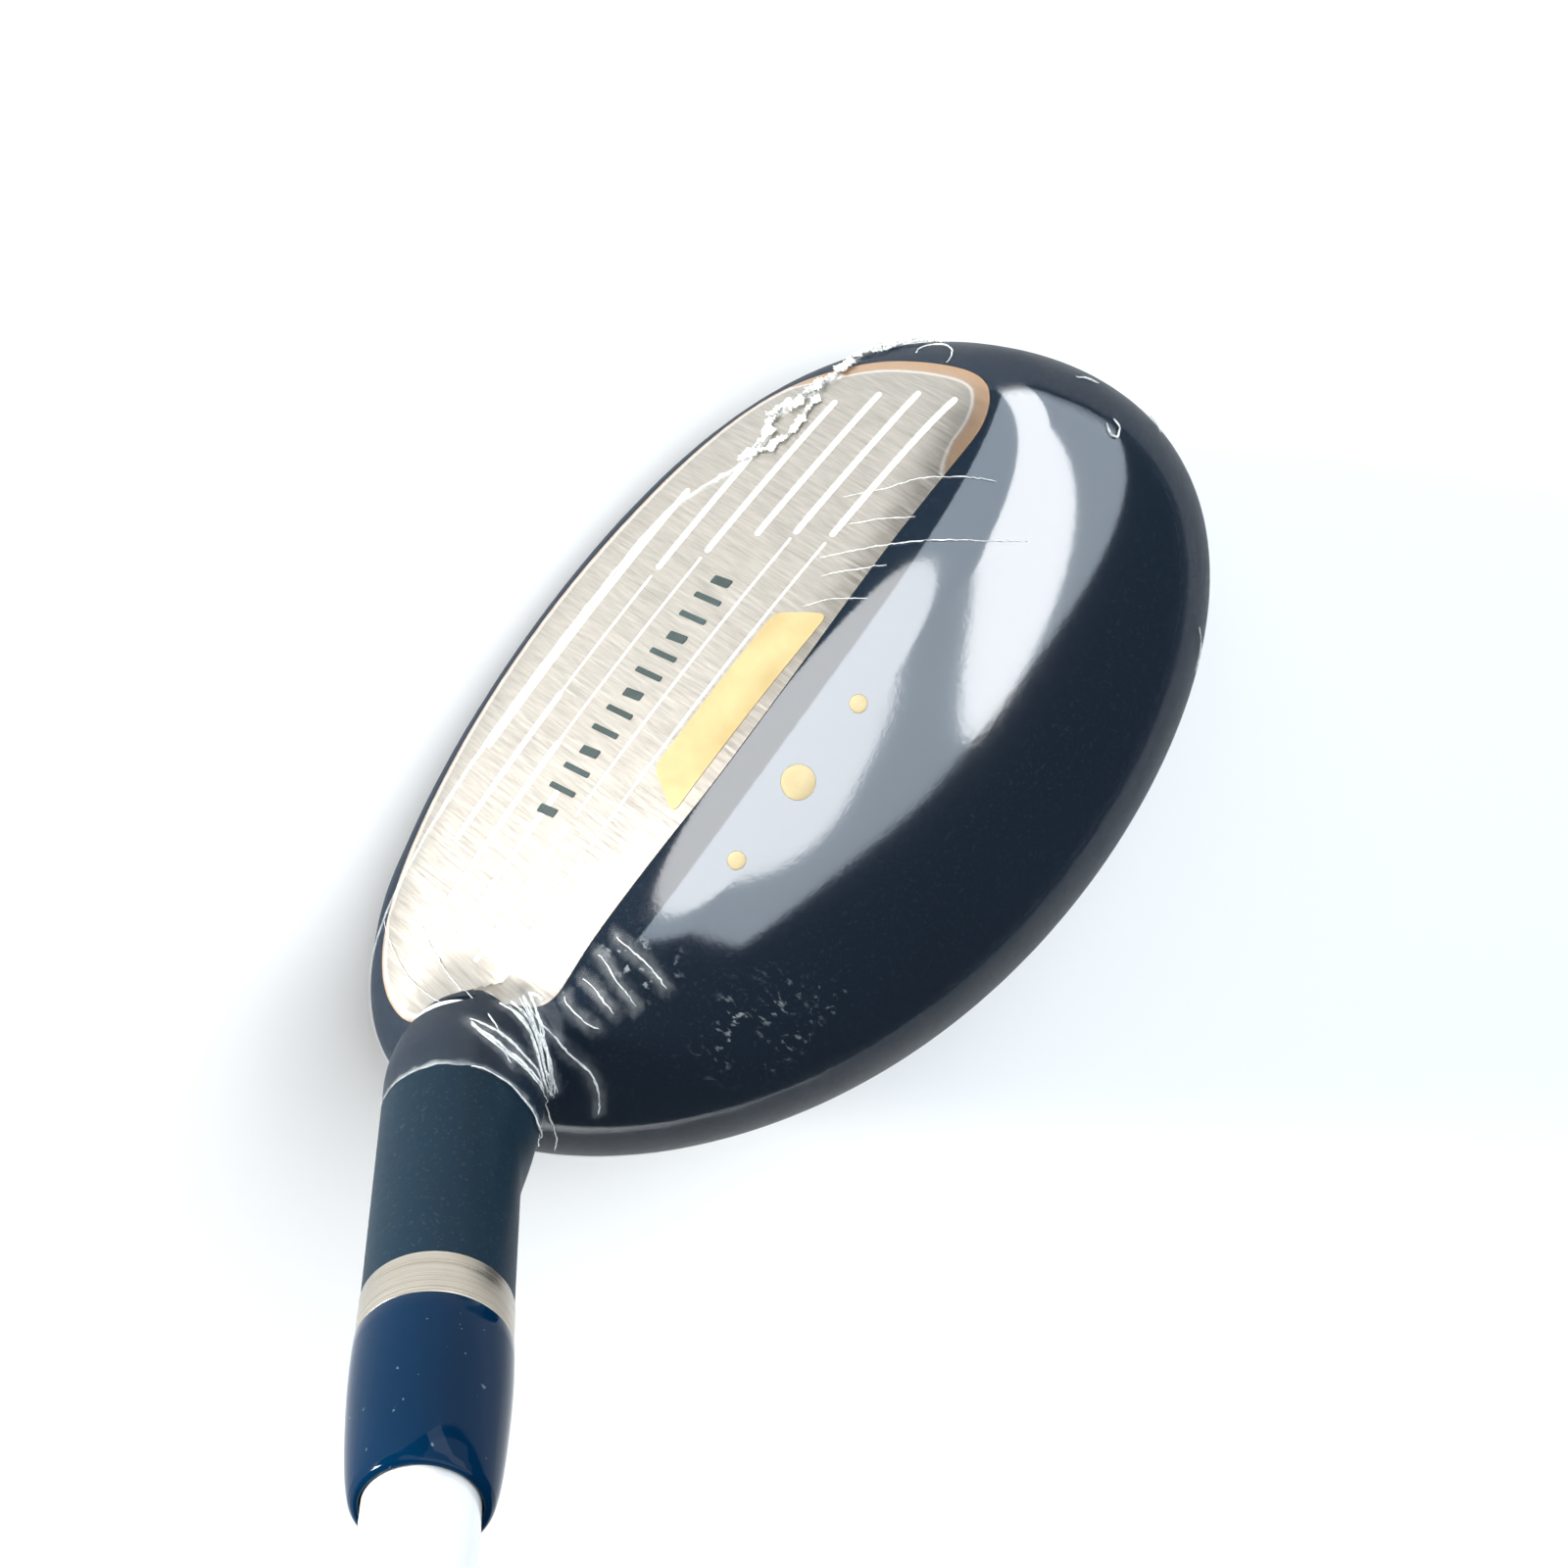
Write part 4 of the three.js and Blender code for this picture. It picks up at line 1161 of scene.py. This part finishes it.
# ------------------------------------------------------------------ clear shrink film with its torn edge, creases and ridges; the white along its edges and creases is painted glint
FILM_LINES = {
    "N1": [(41.1, 3.7, 39.6), (40.6, 4.7, 39.7), (40.4, 6.2, 40.0), (40.4, 7.8, 39.9), (40.7, 9.5, 40.1), (41.2, 11.2, 40.0), (42.1, 12.9, 39.6), (43.4, 16.0, 34.5), (44.2, 19.5, 28.3), (44.4, 21.5, 24.3)],
    "N2": [(39.0, 11.4, 37.2), (39.6, 12.7, 36.9), (40.9, 17.9, 28.7), (41.8, 19.8, 27.6), (42.6, 21.5, 26.4), (43.8, 23.2, 24.1)],
    "W1": [(33.5, 8.1, 29.6), (34.2, 9.1, 31.0), (34.7, 10.2, 31.7), (34.8, 12.3, 31.9), (35.1, 14.3, 31.8), (35.2, 16.3, 31.7), (35.5, 17.9, 31.5), (36.2, 19.4, 31.1), (37.4, 21.0, 30.3), (38.2, 21.8, 29.7)],
    "W2": [(38.2, 3.6, 33.8), (38.2, 4.5, 35.1), (38.1, 5.8, 36.0), (38.2, 7.3, 36.8), (38.3, 9.0, 37.1), (38.7, 10.8, 37.2), (39.1, 12.0, 36.9)],
    "W2b": [(38.0, 3.6, 33.3), (37.6, 4.9, 34.2), (37.4, 6.2, 34.9), (37.5, 7.4, 35.6), (37.8, 8.9, 36.3), (38.2, 10.6, 36.5), (38.7, 11.4, 36.8)],
    "W2c": [(38.2, 3.9, 34.4), (38.4, 5.1, 36.0), (38.5, 6.7, 36.9), (38.9, 7.5, 37.7)],
    "W3": [(35.4, 6.2, 30.6), (35.3, 7.1, 31.3), (35.4, 8.1, 32.3), (35.8, 9.0, 33.2), (36.6, 9.9, 34.5), (37.5, 10.7, 35.6), (38.5, 11.7, 36.3), (39.1, 12.9, 35.9)],
    "W3b": [(34.7, 7.1, 30.2), (34.8, 8.2, 31.2), (35.2, 9.2, 32.2), (36.0, 10.1, 33.4), (36.9, 10.9, 34.5), (37.8, 11.9, 35.2), (38.8, 15.1, 31.3), (39.3, 16.3, 30.2)],
    "W3c": [(33.7, 8.1, 29.8), (34.6, 9.0, 31.4), (35.4, 10.0, 32.6), (36.2, 11.4, 33.1), (37.3, 12.6, 33.5), (38.3, 15.3, 31.1), (39.0, 16.4, 30.3)],
    "W3d": [(32.9, 8.4, 29.6), (33.7, 9.3, 30.8), (34.7, 10.2, 31.7), (35.6, 11.0, 32.7), (36.6, 12.1, 33.2), (37.6, 13.9, 32.2)],
    "W4": [(32.9, 8.4, 29.6), (32.6, 8.9, 30.1), (32.6, 9.5, 30.6)],
    "W5": [(31.0, 10.6, 31.5), (31.5, 11.3, 31.8), (31.7, 12.6, 32.3), (31.8, 13.8, 32.6), (31.5, 14.8, 32.8)],
    "W6": [(28.6, 10.7, 32.1), (28.7, 11.9, 32.8), (29.1, 13.2, 33.2), (29.5, 14.9, 33.4)],
    "W7": [(25.9, 10.3, 32.4), (26.2, 11.4, 33.1), (26.8, 12.7, 33.5), (27.3, 14.5, 33.9), (27.7, 16.0, 33.9)],
    "W8": [(23.6, 10.4, 33.0), (23.7, 11.6, 33.6), (23.8, 13.2, 34.2), (24.1, 15.1, 34.6), (24.6, 17.1, 34.6)],
    "S2": [(36.7, 5.1, 32.4), (37.1, 5.6, 33.8), (37.4, 6.2, 34.9), (37.5, 6.5, 35.3)],
    "F1": [(34.4, 1.2, 15.1), (35.7, 3.0, 18.6), (36.5, 4.3, 22.5), (36.6, 4.2, 29.4)],
    "F2": [(36.4, 0.2, 9.6), (38.2, 1.6, 13.9), (39.2, 3.3, 18.3), (38.7, 2.3, 28.7)],
    "LP": [(-40.6, 4.7, 17.6), (-41.4, 5.0, 16.8), (-42.3, 5.6, 16.9), (-43.0, 6.4, 18.0), (-42.6, 6.5, 20.1), (-41.6, 6.3, 21.4), (-41.0, 6.1, 21.7)],
    "A1": [(-45.9, 20.5, 28.8), (-45.3, 21.2, 29.3), (-45.5, 22.1, 29.3), (-46.6, 22.0, 28.4), (-46.9, 21.1, 28.1)],
    "A3": [(-48.1, 16.5, 25.3), (-48.9, 18.0, 24.7), (-49.4, 19.2, 24.6)],
    "A4": [(-51.2, 26.8, 22.8), (-50.7, 27.6, 23.9), (-50.1, 27.8, 25.0)],
    "R1": [(-37.5, 43.2, 28.2), (-36.7, 45.0, 27.2), (-35.5, 46.1, 26.9), (-34.1, 46.7, 27.1)],
    "f1": [(-17.2, 5.6, 27.7), (-19.4, 6.8, 29.9), (-21.7, 8.4, 31.8), (-24.6, 11.0, 33.5), (-27.6, 14.6, 34.5), (-30.8, 18.9, 34.3)],
    "f2": [(-15.7, 6.1, 29.1), (-17.8, 7.5, 31.1), (-20.1, 9.2, 32.8)],
    "f3": [(-23.6, 4.7, 25.1), (-26.5, 6.4, 28.0), (-29.1, 7.9, 29.8), (-32.5, 11.7, 32.3), (-33.2, 12.9, 32.7)],
    "f4": [(-21.6, 5.8, 27.7), (-23.9, 7.4, 30.2), (-25.6, 9.0, 31.8)],
    "f5": [(-12.2, 6.3, 29.8), (-14.4, 7.5, 31.5), (-16.3, 9.5, 33.4)],
}
TEARS = [
    ([(-42.8, 5.6, 14.2), (-41.0, 4.4, 13.3), (-38.2, 2.6, 11.8), (-37.2, 2.1, 12.2), (-36.4, 1.7, 12.5), (-35.1, 1.3, 13.1), (-34.1, 1.0, 13.2), (-32.8, 0.6, 13.0), (-31.6, 0.2, 12.5), (-30.3, 0.0, 12.9), (-29.3, -0.4, 12.1), (-28.2, -0.8, 11.5), (-27.0, -1.2, 10.9)], 0.85, 0.36),
    ([(-27.8, -0.7, 12.0), (-26.4, -0.9, 12.0), (-25.6, -0.8, 12.5), (-24.6, -0.7, 12.9), (-23.5, -0.8, 12.8), (-22.4, -1.0, 12.7), (-21.4, -1.2, 12.3)], 0.65, 0.30),
    ([(-31.6, 0.6, 13.9), (-30.1, 0.5, 14.4), (-28.8, 0.4, 14.6), (-27.3, 0.4, 14.9), (-25.8, 0.1, 14.6), (-24.5, -0.2, 14.2), (-23.3, -0.6, 13.4)], 0.55, 0.22),
    ([(-38.5, 2.8, 12.9), (-39.2, 3.2, 13.6), (-40.3, 3.9, 13.8), (-41.8, 5.1, 14.4), (-42.8, 6.0, 15.2), (-43.3, 6.4, 17.0)], 0.30, 0.26),
]


def resample(P, n):
    P = np.array(P, float)
    d = np.r_[0, np.cumsum(np.linalg.norm(np.diff(P, axis=0), axis=1))]
    T = np.vstack([P[1] - P[0], P[2:] - P[:-2], P[-1] - P[-2]]) if len(P) > 2 else np.vstack([P[1] - P[0]] * 2)
    span = np.r_[d[1] - d[0], d[2:] - d[:-2], d[-1] - d[-2]] if len(P) > 2 else np.full(2, d[1])
    T = T / span[:, None]
    s = np.linspace(0, d[-1], n)
    k = np.clip(np.searchsorted(d, s, side="right") - 1, 0, len(P) - 2)
    h = (d[k + 1] - d[k])[:, None]
    u = ((s - d[k])[:, None]) / h
    return (2 * u**3 - 3 * u**2 + 1) * P[k] + (u**3 - 2 * u**2 + u) * h * T[k] + (-2 * u**3 + 3 * u**2) * P[k + 1] + (u**3 - u**2) * h * T[k + 1]


def onto(P, off, rounds=5):
    for _ in range(rounds):
        g = grad(head_f, P)
        g = g / np.maximum(np.linalg.norm(g, axis=-1, keepdims=True) ** 2, 1e-6)
        P = P - (head_f(P) - off)[..., None] * g
    return P


N1 = np.array(FILM_LINES["N1"])
N1_t = axis_tr(N1)[0]


def film_s(P):
    x, y, z = P[..., 0], P[..., 1], P[..., 2]
    u = np.clip((y - 2) / 11, 0, 1)
    low = 9 + 12 * u * u * (3 - 2 * u)
    toe = np.interp(x, [-60, -45, -38.5, -36.5, -34, -31, -28, -26, -22, -18, -14, -10], [15, 14, 12.0, 12.5, 13.2, 12.6, 11.6, 12.0, 12.6, 11.2, 9.4, 9.0])
    ragged = 0.30 * np.sin(2.9 * x + 1.1 * z) * np.sin(1.3 * x - 0.7) + 0.16 * np.sin(7.7 * x + 2.0 * y)
    low = np.maximum(low, toe) + ragged * np.clip((-12 - x) / 8, 0.25, 1)
    t, r = axis_tr(P)
    tw = np.interp(y, N1[:, 1], N1_t) + 0.10 * np.sin(3.1 * y) + 0.05 * np.sin(9.7 * y + x)
    return np.minimum(z - low, np.maximum(tw - t, r - 10.8))


def film_sheet(h, off=0.13, thick=0.05):
    P0, F0 = surface_nets(lambda P: head_f(P) - off, (-57, -13, 6.0), (62, 59, 50.0), h)
    P0 = np.asarray(P0, float)
    F0 = np.asarray(F0)
    tri = np.vstack([F0[:, [0, 1, 2]], F0[:, [0, 2, 3]]])
    s = film_s(P0)
    ins = s[tri] > 0
    cnt = ins.sum(1)
    verts = [P0]
    nv = len(P0)
    extra, cache = [], {}

    def cut(i, j):
        key = (min(i, j), max(i, j))
        if key not in cache:
            u = min(max(s[i] / (s[i] - s[j]), 0.02), 0.98)
            cache[key] = nv + len(extra)
            extra.append(P0[i] * (1 - u) + P0[j] * u)
        return cache[key]

    out = tri[cnt == 3].tolist()
    for T, I in zip(tri[(cnt > 0) & (cnt < 3)], ins[(cnt > 0) & (cnt < 3)]):
        if I.sum() == 1:
            k = int(np.argmax(I))
            a, b, c = T[k], T[(k + 1) % 3], T[(k + 2) % 3]
            out.append([int(a), cut(a, b), cut(a, c)])
        else:
            k = int(np.argmin(I))
            a, b, c = T[k], T[(k + 1) % 3], T[(k + 2) % 3]
            ab, ac = cut(a, b), cut(a, c)
            out.append([ab, int(b), int(c)])
            out.append([ab, int(c), ac])
    V = np.vstack([P0, np.array(extra).reshape(-1, 3)])
    out = np.array(out)
    used = np.unique(out)
    remap = np.full(len(V), -1)
    remap[used] = np.arange(len(used))
    V = V[used]
    out = remap[out]
    g = grad(head_f, V)
    g /= np.maximum(np.linalg.norm(g, axis=1), 1e-9)[:, None]
    n = len(V)
    e = np.vstack([out[:, [0, 1]], out[:, [1, 2]], out[:, [2, 0]]])
    key = np.sort(e, axis=1)
    _, inv, c = np.unique(key, axis=0, return_inverse=True, return_counts=True)
    border = e[c[inv.ravel()] == 1]
    faces = out.tolist() + (out[:, ::-1] + n).tolist() + np.stack([border[:, 1], border[:, 0], border[:, 0] + n, border[:, 1] + n], -1).tolist()
    return np.vstack([V, V - thick * g]), faces, g


FV_, FF_, FG_ = film_sheet(0.8)
film = obj_from("protective_film_fine", FV_, FF_)
recalc(film)
film.data.shade_smooth()
sharpen(film, 60)
sv = np.clip(film_s(FV_), 0, 9)
# painted glint along the film's torn edges and wrinkle lines, carried as opacity of the white film
edge = np.where(FV_[:, 0] > 25, 0.26, np.where(FV_[:, 1] > 5, 0.05, 0.5)) * np.exp(-((sv / 0.30) ** 2))
lines = np.vstack([resample(q, 40) for k, q in FILM_LINES.items() if k[0] in "W"])
near_ = np.where(FV_[:, 0] > 20)[0]
dd = np.full(len(FV_), 9.0)
for i0 in range(0, len(near_), 4000):
    b_ = near_[i0:i0 + 4000]
    dd[b_] = np.sqrt(((FV_[b_][:, None, :] - lines[None]) ** 2).sum(-1)).min(1)
edge = np.maximum(edge, 0.12 * np.exp(-((dd / 0.5) ** 2)))
at = film.data.attributes.new("film_glint", "FLOAT", "POINT")
at.data.foreach_set("value", edge)

rng = np.random.default_rng(11)
RV, RF = [], []


def add_mesh(V, F):
    n = sum(len(v) for v in RV)
    RV.append(np.array(V, float))
    RF.extend([[i + n for i in f] for f in F])


def ridge(pts, w, off=0.15, n=None, taper=True, height=0.8):
    L = np.linalg.norm(np.diff(np.array(pts), axis=0), axis=1).sum()
    n = n or max(10, int(L / 0.35))
    C = resample(pts, n)
    C = C + rng.normal(size=C.shape) * 0.035
    C = onto(C, off)
    g = grad(head_f, C)
    g /= np.linalg.norm(g, axis=1)[:, None]
    T = np.gradient(C, axis=0)
    T /= np.linalg.norm(T, axis=1)[:, None]
    B = np.cross(T, g)
    B /= np.linalg.norm(B, axis=1)[:, None]
    s = np.linspace(0, 1, n)
    ww = w * (0.45 + 0.55 * np.sin(np.pi * s) ** 0.6 if taper else np.ones(n)) * (1 + 0.25 * np.sin(s * L * 2.1 + rng.uniform(0, 6)) + 0.15 * rng.normal(size=n))
    ww = np.maximum(ww, 0.03)
    m = 6
    V = []
    for k in range(m):
        a = 2 * math.pi * k / m
        V.append(C + (ww * math.cos(a))[:, None] * B + (ww * height * (0.4 + math.sin(a)))[:, None] * g)
    V = np.stack(V, 1).reshape(-1, 3)
    F = []
    for i in range(n - 1):
        for k in range(m):
            k2 = (k + 1) % m
            F.append([i * m + k, i * m + k2, (i + 1) * m + k2, (i + 1) * m + k])
    F.append(list(range(m))[::-1])
    F.append([(n - 1) * m + k for k in range(m)])
    add_mesh(V, F)


WID = {"N1": 0.10, "N2": 0.07, "W1": 0.11, "W2": 0.17, "W2b": 0.13, "W2c": 0.09, "W3": 0.18, "W3b": 0.17, "W3c": 0.15, "W3d": 0.12, "W4": 0.14, "W5": 0.08, "W6": 0.07, "W7": 0.07, "W8": 0.07, "S2": 0.10,
       "F1": 0.05, "F2": 0.05, "LP": 0.09, "A1": 0.13, "A3": 0.10, "A4": 0.10, "R1": 0.09, "f1": 0.06, "f2": 0.05, "f3": 0.045, "f4": 0.04, "f5": 0.04}
for k, q in FILM_LINES.items():
    ridge(q, WID[k])
    if k in ("W2", "W2b", "W3", "W3b", "W3c", "W3d"):
        for r_ in range(2):
            j = rng.normal(size=3) * 0.28
            cut_ = rng.integers(0, 2)
            ridge(np.array(q)[cut_:] + j, 0.06 + 0.05 * rng.random())


def crumple(pts, half, lift):
    L = np.linalg.norm(np.diff(np.array(pts), axis=0), axis=1).sum()
    n, m = int(L / 0.13), 9
    C = resample(pts, n)
    T = np.gradient(C, axis=0)
    T /= np.linalg.norm(T, axis=1)[:, None]
    C = onto(C, 0.1)
    g = grad(head_f, C)
    g /= np.linalg.norm(g, axis=1)[:, None]
    B = np.cross(T, g)
    B /= np.linalg.norm(B, axis=1)[:, None]
    s = np.linspace(0, 1, n) * L
    ph = rng.uniform(0, 6, 8)
    wid = half * (0.65 + 0.35 * np.sin(1.9 * s + ph[0]) + 0.28 * np.sin(4.7 * s + ph[1])) * np.clip(np.minimum(s, L - s) / 0.8 + 0.15, 0, 1)
    mid = 0.25 * half * np.sin(2.6 * s + ph[2]) + 0.12 * rng.normal(size=n) * half
    u = np.linspace(-1, 1, m)
    A = C[:, None] + ((mid[:, None] + wid[:, None] * u[None] + 0.10 * half * rng.normal(size=(n, m)))[..., None]) * B[:, None]
    A = onto(A.reshape(-1, 3), 0.12, 3).reshape(n, m, 3)
    fold = lift * (0.5 + 0.5 * np.sin(5.2 * s[:, None] + 3.1 * u[None] + ph[3]) * np.cos(8.3 * s[:, None] - 2.0 * u[None] + ph[4])) + 0.35 * lift * np.abs(rng.normal(size=(n, m)))
    top = A + (0.06 + fold)[..., None] * g[:, None]
    bot = A + np.maximum(fold - 0.05, 0.0)[..., None] * g[:, None]
    V = np.vstack([top.reshape(-1, 3), bot.reshape(-1, 3)])
    N_ = n * m
    idx = np.arange(N_).reshape(n, m)
    q = np.stack([idx[:-1, :-1], idx[1:, :-1], idx[1:, 1:], idx[:-1, 1:]], -1).reshape(-1, 4)
    F = q.tolist() + (q[:, ::-1] + N_).tolist()
    loop = list(idx[:, 0]) + list(idx[-1, 1:]) + list(idx[-2::-1, -1]) + list(idx[0, -2:0:-1])
    for i in range(len(loop)):
        a, b = loop[i], loop[(i + 1) % len(loop)]
        F.append([b, a, a + N_, b + N_])
    add_mesh(V, F)


for q, half, lift in TEARS:
    crumple(q, half, lift)
ridges = obj_from("film_creases_fine", np.vstack(RV), RF)
recalc(ridges)
ridges.data.shade_smooth()
for o, mt in ((film, M_film), (ridges, M_crease)):
    o.data.materials.clear()
    o.data.materials.append(mt)
    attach(o, "root")
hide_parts("protective_film")

# ------------------------------------------------------------------ floor, light, camera
fl = bpy.data.meshes.new("floor")
fl.from_pydata([(-6, -6, -0.0005), (6, -6, -0.0005), (6, 6, -0.0005), (-6, 6, -0.0005)], [], [(0, 1, 2, 3)])
floor = bpy.data.objects.new("floor", fl)
col.objects.link(floor)
mf, nt, b = material("floor_pale")
g = G(nt)
g.link(g.mix(g.noise(g.coord(), 3, 2, 0.5), srgb(238, 238, 237), srgb(241, 241, 240)), b.inputs["Base Color"])
b.inputs["Roughness"].default_value = 0.9
fl.materials.append(mf)

world = bpy.data.worlds.new("studio")
bpy.context.scene.world = world
world.use_nodes = True
wn = world.node_tree
bg = wn.nodes["Background"]
bg.inputs[0].default_value = (0.62, 0.82, 1.0, 1)
bg.inputs[1].default_value = 0.03

TARGET = np.array([0.0, 22.0, 30.0])


def card(name, sx, sy, roll, half_w, half_h, radiance, shape="ELLIPSE", dist=2200.0, color=(1, 1, 1)):
    """soft box seen from the head along the direction that (sx, sy) maps to on the sky dome; half sizes are tangents"""
    r2 = sx * sx + sy * sy
    c = np.array([2 * sx, 2 * sy, 1 - r2]) / (1 + r2)
    e = np.array([0, 1.0, 0]) - c[1] * c
    e /= np.linalg.norm(e)
    a = math.cos(roll) * e + math.sin(roll) * np.cross(c, e)
    x = -np.cross(c, a)
    loc = TARGET + c * dist
    li = bpy.data.lights.new(name, "AREA")
    li.shape = shape
    li.size, li.size_y = 2 * half_w * dist * MM, 2 * half_h * dist * MM
    area = li.size * li.size_y * (math.pi / 4 if shape == "ELLIPSE" else 1.0)
    li.energy = radiance * math.pi * area
    li.color = color
    o = bpy.data.objects.new(name, li)
    o.matrix_world = Matrix([[x[0], a[0], c[0], loc[0] * MM], [x[1], a[1], c[1], loc[1] * MM], [x[2], a[2], c[2], loc[2] * MM], [0, 0, 0, 1]])
    o.visible_camera = False
    col.objects.link(o)
    return o


card("toe_softbox", -0.56, -0.035, 2.33, 0.19, 1.5, 2.75)
card("top_softbox", -0.05, -0.188, -0.068, 0.33, 1.1, 2.1)
card("fill_softbox", -0.317, -0.027, -1.443, 0.724, 1.2, 1.3, "RECTANGLE", 2600.0, (0.76, 0.88, 1.0))
card("low_front", 0.458, -0.794, 0.0, 0.17, 0.11, 150.0, "ELLIPSE", 1500.0, (1.0, 0.985, 0.95))

cam = bpy.data.cameras.new("camera")
cam.sensor_width = 36
cam.lens = 3044.08 / 1600 * 36
cam.clip_start, cam.clip_end = 0.01, 50
camo = bpy.data.objects.new("camera", cam)
right = np.array([-0.60749, 0.69576, 0.38325])
down = np.array([0.79089, 0.57466, 0.21038])
fwd = np.array([-0.07387, 0.43091, -0.89937])
C = np.array([23.400, -108.343, 289.520]) * MM
camo.matrix_world = Matrix([[right[0], -down[0], -fwd[0], C[0]], [right[1], -down[1], -fwd[1], C[1]], [right[2], -down[2], -fwd[2], C[2]], [0, 0, 0, 1]])
col.objects.link(camo)
bpy.context.scene.camera = camo
bpy.context.scene.view_settings.view_transform = "Standard"
